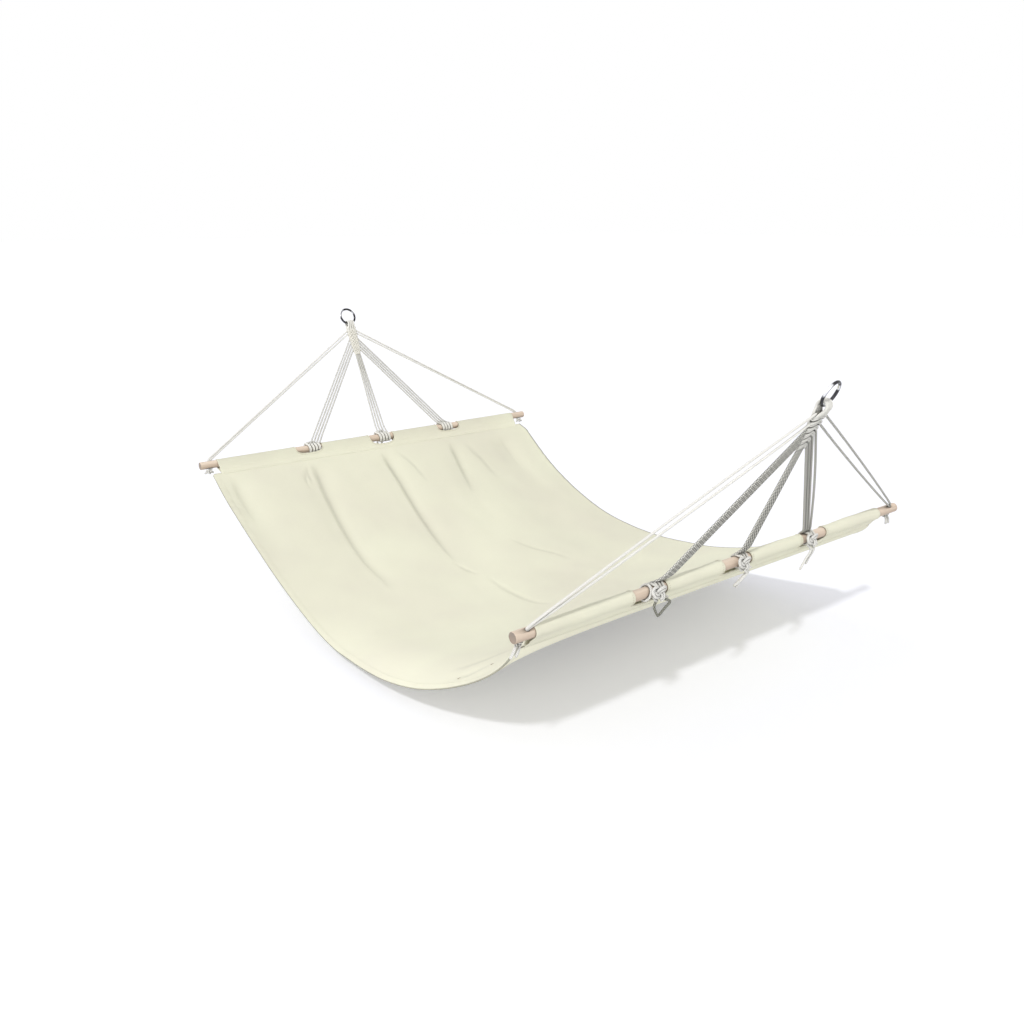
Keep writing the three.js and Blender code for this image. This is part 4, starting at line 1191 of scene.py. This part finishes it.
def sleeve_sewing(end, total):
    """The sleeve's two seams on both faces, and the rolled and stitched rims of its cut-outs."""
    body, rims = Body(), Body()
    front, back = SLEEVES[end]

    def sewn(path, body=body):
        """Stitches through points given as (place along the bar, place round the cloth)."""
        spots = [(y, q, sleeve_slack(end, y, q, total)) for y, q in path]
        low = np.array([sleeve_point(end, y, q, lift + CLOTH_THICKNESS / 2) for y, q, lift in spots])
        high = np.array([sleeve_point(end, y, q, lift + CLOTH_THICKNESS / 2 + 1) for y, q, lift in spots])
        stitches(body, low, high - low)

    ys = np.arange(front + 3, back - 3, 6.0)
    for reach in SEAM_REACHES:
        for q in (HEM_REACH - reach, total - HEM_REACH + reach):
            sewn([(y, q) for y in ys])
    for middle in NOTCHES[end]:
        half = NOTCH_WIDTH / 2
        across = middle - half * np.cos(np.linspace(0, math.pi, 54))
        edges = [HEM_REACH - notch_edge(end, y) for y in across]
        round_bar = np.linspace(edges[0], total - edges[0], 40)
        loop = list(zip(across, edges)) + [(middle + half, q) for q in round_bar]
        loop += [(y, total - e) for y, e in list(zip(across, edges))[::-1]]
        loop += [(middle - half, q) for q in round_bar[::-1]]
        rim = [sleeve_point(end, y, q, sleeve_slack(end, y, q, total) + RIM_LIFT) for y, q in loop]
        body.tube(even(rim, 3), RIM_RADIUS, sides=10, ends="flat")
        for flip in (False, True):
            for way in (-1, 1):
                tall = np.linspace(edges[0], total / 2, 20)
                beside = [(middle + way * (half + RIM_STITCHES), total - q if flip else q) for q in tall]
                sewn(beside, rims)
            sewn([(y, total - e + RIM_STITCHES if flip else e - RIM_STITCHES) for y, e in zip(across, edges)], rims)
    pieces = [body.mesh(f"{end}_sleeve_sewing", THREAD, end), rims.mesh(f"{end}_rim_sewing", RIM_THREAD, end)]
    for obj in pieces:
        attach(obj, f"{end}_end")
    return pieces


def thicken(obj, thickness):
    modifier = obj.modifiers.new("thickness", "SOLIDIFY")
    modifier.thickness = thickness / 1000
    modifier.offset = 0
    modifier.use_rim = True
    apply_modifiers(obj)


for end in FACING:
    sleeve(end)

# Bed

BED_ROWS = 280
BED_COLUMNS = 300
BED_CLOTH = 2.2
TUCKS = {"left": 7, "right": 3.5}
SIDE_HEM = 20
SIDE_STITCHES = 16
HEM_TACKS = ((582, -640), (651, -598))
HEM_CLOTH = 3.4
HEM_EASE = 160
FOLD_DEPTH = 14
HOLLOW_WIDTH = 52
CREASE_WIDTHS, DARK_WIDTHS = (8, 26), (5, 24)
SWELL_ALONG, SWELL_ACROSS = 260, 190
SWELL_DEPTH, SWELL_DEPTH_FAR, SMALL_SWELL_DEPTH = 4.0, 4.0, 1.1
PUCKER_DEPTH = 2.4
FOLDS = (
    (420, 260, 0.45, ((-854, -614), (-710, -625), (-596, -622), (-434, -614))),
    (760, 690, 0.8, ((-854, -313), (-785, -316), (-669, -334), (-533, -352), (-435, -363), (-346, -370),
                     (-235, -366), (-94, -374))),
    (760, 640, 1.0, ((-854, -27), (-799, -29), (-662, -33), (-559, -44), (-454, -55), (-344, -72), (-247, -84),
                     (-94, -88))),
    (560, 300, 0.9, ((-854, 280), (-778, 275), (-729, 267), (-662, 252), (-585, 230), (-294, 200))),
    (420, 250, 0.15, ((-854, 520), (-434, 530))),
)
CREASES = (
    ([(-225, -97), (-160, -84), (-122, -70)], 3.0, 7),
    ([(-91, -59), (19, -70), (142, -82), (209, -83), (255, -67)], 3.5, 11),
    ([(-273, 175), (-192, 206), (-113, 249), (-40, 262)], 2.5, 9),
    ([(-770, -358), (-735, -372), (-705, -376)], 3.0, 5),
    ([(-790, -342), (-760, -352), (-720, -352)], 2.5, 6),
    ([(-790, 30), (-730, 62), (-640, 74)], 2.0, 9),
    ([(-780, 340), (-700, 372), (-610, 380)], 2.0, 12),
    ([(560, -640), (600, -628), (640, -590)], 4.0, 14),
    ([(500, -600), (560, -560), (600, -500)], 2.5, 16),
)


def folds(x, y):
    """How deep the folds are that fall away from the left bar, each a hollow with a crease in it, and their painted
    shade.
    """
    along = x + HALF_SPAN
    depth, darkness = np.zeros_like(x), np.zeros_like(x)
    for reach, crisp_reach, crisp, line in FOLDS:
        middle = np.interp(x, [p[0] for p in line], [p[1] for p in line])
        aside = y - middle
        start = ease((along - 50) / 60)
        hollow = (1 - np.clip(along / reach, 0, 1) ** 1.5) * start
        sharp = (1 - np.clip(along / crisp_reach, 0, 1) ** 3) * start * crisp
        width = np.where(aside < 0, *CREASE_WIDTHS)
        depth += FOLD_DEPTH * hollow * (1 - 0.6 * crisp) * np.exp(-((aside / HOLLOW_WIDTH) ** 2))
        depth += FOLD_DEPTH * 0.6 * sharp * np.exp(-((aside / width) ** 2))
        spread = np.where(aside < 0, *DARK_WIDTHS)
        # The darkness is painted shade along each crease and beside it.
        darkness += sharp * (0.45 * np.exp(-(((aside - 2) / 6) ** 2)) + 0.5 * np.exp(-((aside / spread) ** 2)))
    for points, deep, width in CREASES:
        line = smooth_path([(px, py, 0) for px, py in points], 8)[:, :2]
        fades = np.sin(np.linspace(0.1, math.pi - 0.1, len(line)))
        nearest = np.full(x.shape, 1e9)
        fade = np.zeros_like(x)
        for (px, py), value in zip(line, fades):
            away = (x - px) ** 2 + (y - py) ** 2
            closer = away < nearest
            nearest = np.where(closer, away, nearest)
            fade = np.where(closer, value, fade)
        depth += deep * fade * np.exp(-nearest / width**2)
        # Painted shade along the crease.
        darkness += 0.5 * fade * np.exp(-nearest / (0.7 * width) ** 2)
    return depth, darkness


def unevenness(x, y, c):
    """Slow swells of the loose cloth, and puckers along the sewn side hems."""
    clear = ease((HALF_SPAN - 60 - np.abs(x)) / 120)
    places = np.stack([x / SWELL_ALONG, y / SWELL_ACROSS, 0 * x], -1)
    deep = SWELL_DEPTH + SWELL_DEPTH_FAR * ease((y - x + 100) / 500)
    swell = grain(places, 1.0, 1) * deep + grain(places * 3.1, 1.0, 2) * SMALL_SWELL_DEPTH
    edge = BED_WIDTH / 2 - np.abs(c)
    strong = 0.5 + 1.3 * np.exp(-(((x + 650) / 130) ** 2))
    pucker = grain(np.stack([x / 15, edge / 60, np.sign(c)], -1), 1.0, 3)
    return clear * (swell + PUCKER_DEPTH * strong * pucker * np.exp(-(((edge - SIDE_STITCHES) / 15) ** 2)))


def bed_points(x, c):
    """The cloth's middle surface, for places along the hammock and across the flat cloth."""
    x, c = np.broadcast_arrays(np.asarray(x, float), np.asarray(c, float))
    y = c * width_share(x, c)
    start = -bed_end("left", y)
    slope = np.tan(cloth_angle("left", y))
    step = -(HALF_SPAN + start) * slope - bed_height(start, y)
    height = bed_height(x, y) + step * np.exp(-np.maximum(0, x - start) / HEM_EASE)
    height = np.where(x < start, -(HALF_SPAN + x) * slope, height)
    return np.stack([x, y, height - folds(x, y)[0] + unevenness(x, y, c)], -1)


def bed_thickness(c):
    edge = BED_WIDTH / 2 - np.abs(c)
    return BED_CLOTH + (HEM_CLOTH - BED_CLOTH) * ease((SIDE_HEM + 1.5 - edge) / 3)


def bed():
    """The hung cloth, one sheet with turned side hems."""
    share = np.linspace(0, 1, BED_ROWS + 1)[:, None]
    share = 1 - (1 - share) ** 1.12
    column = np.linspace(-BED_WIDTH / 2, BED_WIDTH / 2, BED_COLUMNS + 1)[None, :]
    column = np.sign(column) * (BED_WIDTH / 2) * (1 - (1 - np.abs(column) / (BED_WIDTH / 2)) ** 1.15)
    x = -(bed_end("left", column) + TUCKS["left"]) * (1 - share) + (bed_end("right", column) + TUCKS["right"]) * share
    middle = bed_points(x, column)
    along = np.gradient(middle, axis=0)
    across = np.gradient(middle, axis=1)
    normal = np.cross(along, across)
    normal *= np.sign(normal[..., 2:3])
    normal /= np.linalg.norm(normal, axis=-1)[..., None]
    half_thick = (bed_thickness(column + 0 * x) / 2)[..., None]
    top = middle + normal * half_thick
    under = middle - normal * half_thick
    lengths = along_of(middle[:, BED_COLUMNS // 2])
    us = np.concatenate([column[0], column[0][::-1], column[0][:1]]) / 1000
    rows = np.concatenate([top, under[:, ::-1]], 1)[:, ::-1]
    body = Body()
    body.grid(rows, us[::-1], lengths / 1000, closed=True)
    wide = rows.shape[1]
    half = wide // 2
    for r, flip in ((0, False), (BED_ROWS, True)):  # the cloth's two cut ends
        for k in range(half - 1):
            a, b = r * wide + k, r * wide + k + 1
            d, e = r * wide + wide - 1 - k, r * wide + wide - 2 - k
            face = (a, b, e, d) if flip else (a, d, e, b)
            body.faces.append(face)
            body.uvs.append(((us[0], lengths[r] / 1000),) * 4)
    obj = body.mesh("canvas_cloth", BED_CANVAS)
    # The folds' painted shade at each point, kept on the mesh for the canvas material.
    darkness = folds(middle[..., 0], middle[..., 1])[1]
    layer = obj.data.attributes.new("crease", "FLOAT", "POINT")
    both_sides = np.concatenate([darkness, darkness[:, ::-1]], 1)[:, ::-1]
    layer.data.foreach_set("value", both_sides.astype(np.float32).ravel())
    sewing = bed_sewing(middle, normal, column)
    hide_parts("canvas_bed")
    for piece in (obj, *sewing):
        blend_bed(piece)


def bed_sewing(middle, normal, column):
    """The stitches of the side hems, on both faces of the cloth."""
    body = Body()
    rows = np.arange(4, BED_ROWS - 3)
    for side in (-1, 1):
        at = side * (BED_WIDTH / 2 - SIDE_STITCHES)
        k = int(np.argmin(np.abs(column[0] - at)))
        for way in (-1, 1):
            out = normal[rows, k] * way
            stitches(body, middle[rows, k] + out * HEM_CLOTH / 2, out)
    tacks = Body()
    for x, c in HEM_TACKS:
        r, k = int(np.argmin(np.abs(middle[:, 0, 0] - x))), int(np.argmin(np.abs(column[0] - c)))
        spot, out = middle[r, k], normal[r, k]
        for aside in (-1.4, 0, 1.4):
            line = [spot + out * 1.9 + ACROSS * t + np.array([aside, 0, 0]) for t in (-7, 0, 7)]
            stitches(tacks, line, [out] * 3)
    pieces = [body.mesh("hem_sewing", THREAD), tacks.mesh("hem_tacks", RIM_THREAD)]
    return pieces


def blend_bed(obj):
    """Bakes the piece's placement into its mesh."""
    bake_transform(obj)


bed()

bpy.context.scene.view_settings.view_transform = "Standard"
bpy.context.view_layer.update()
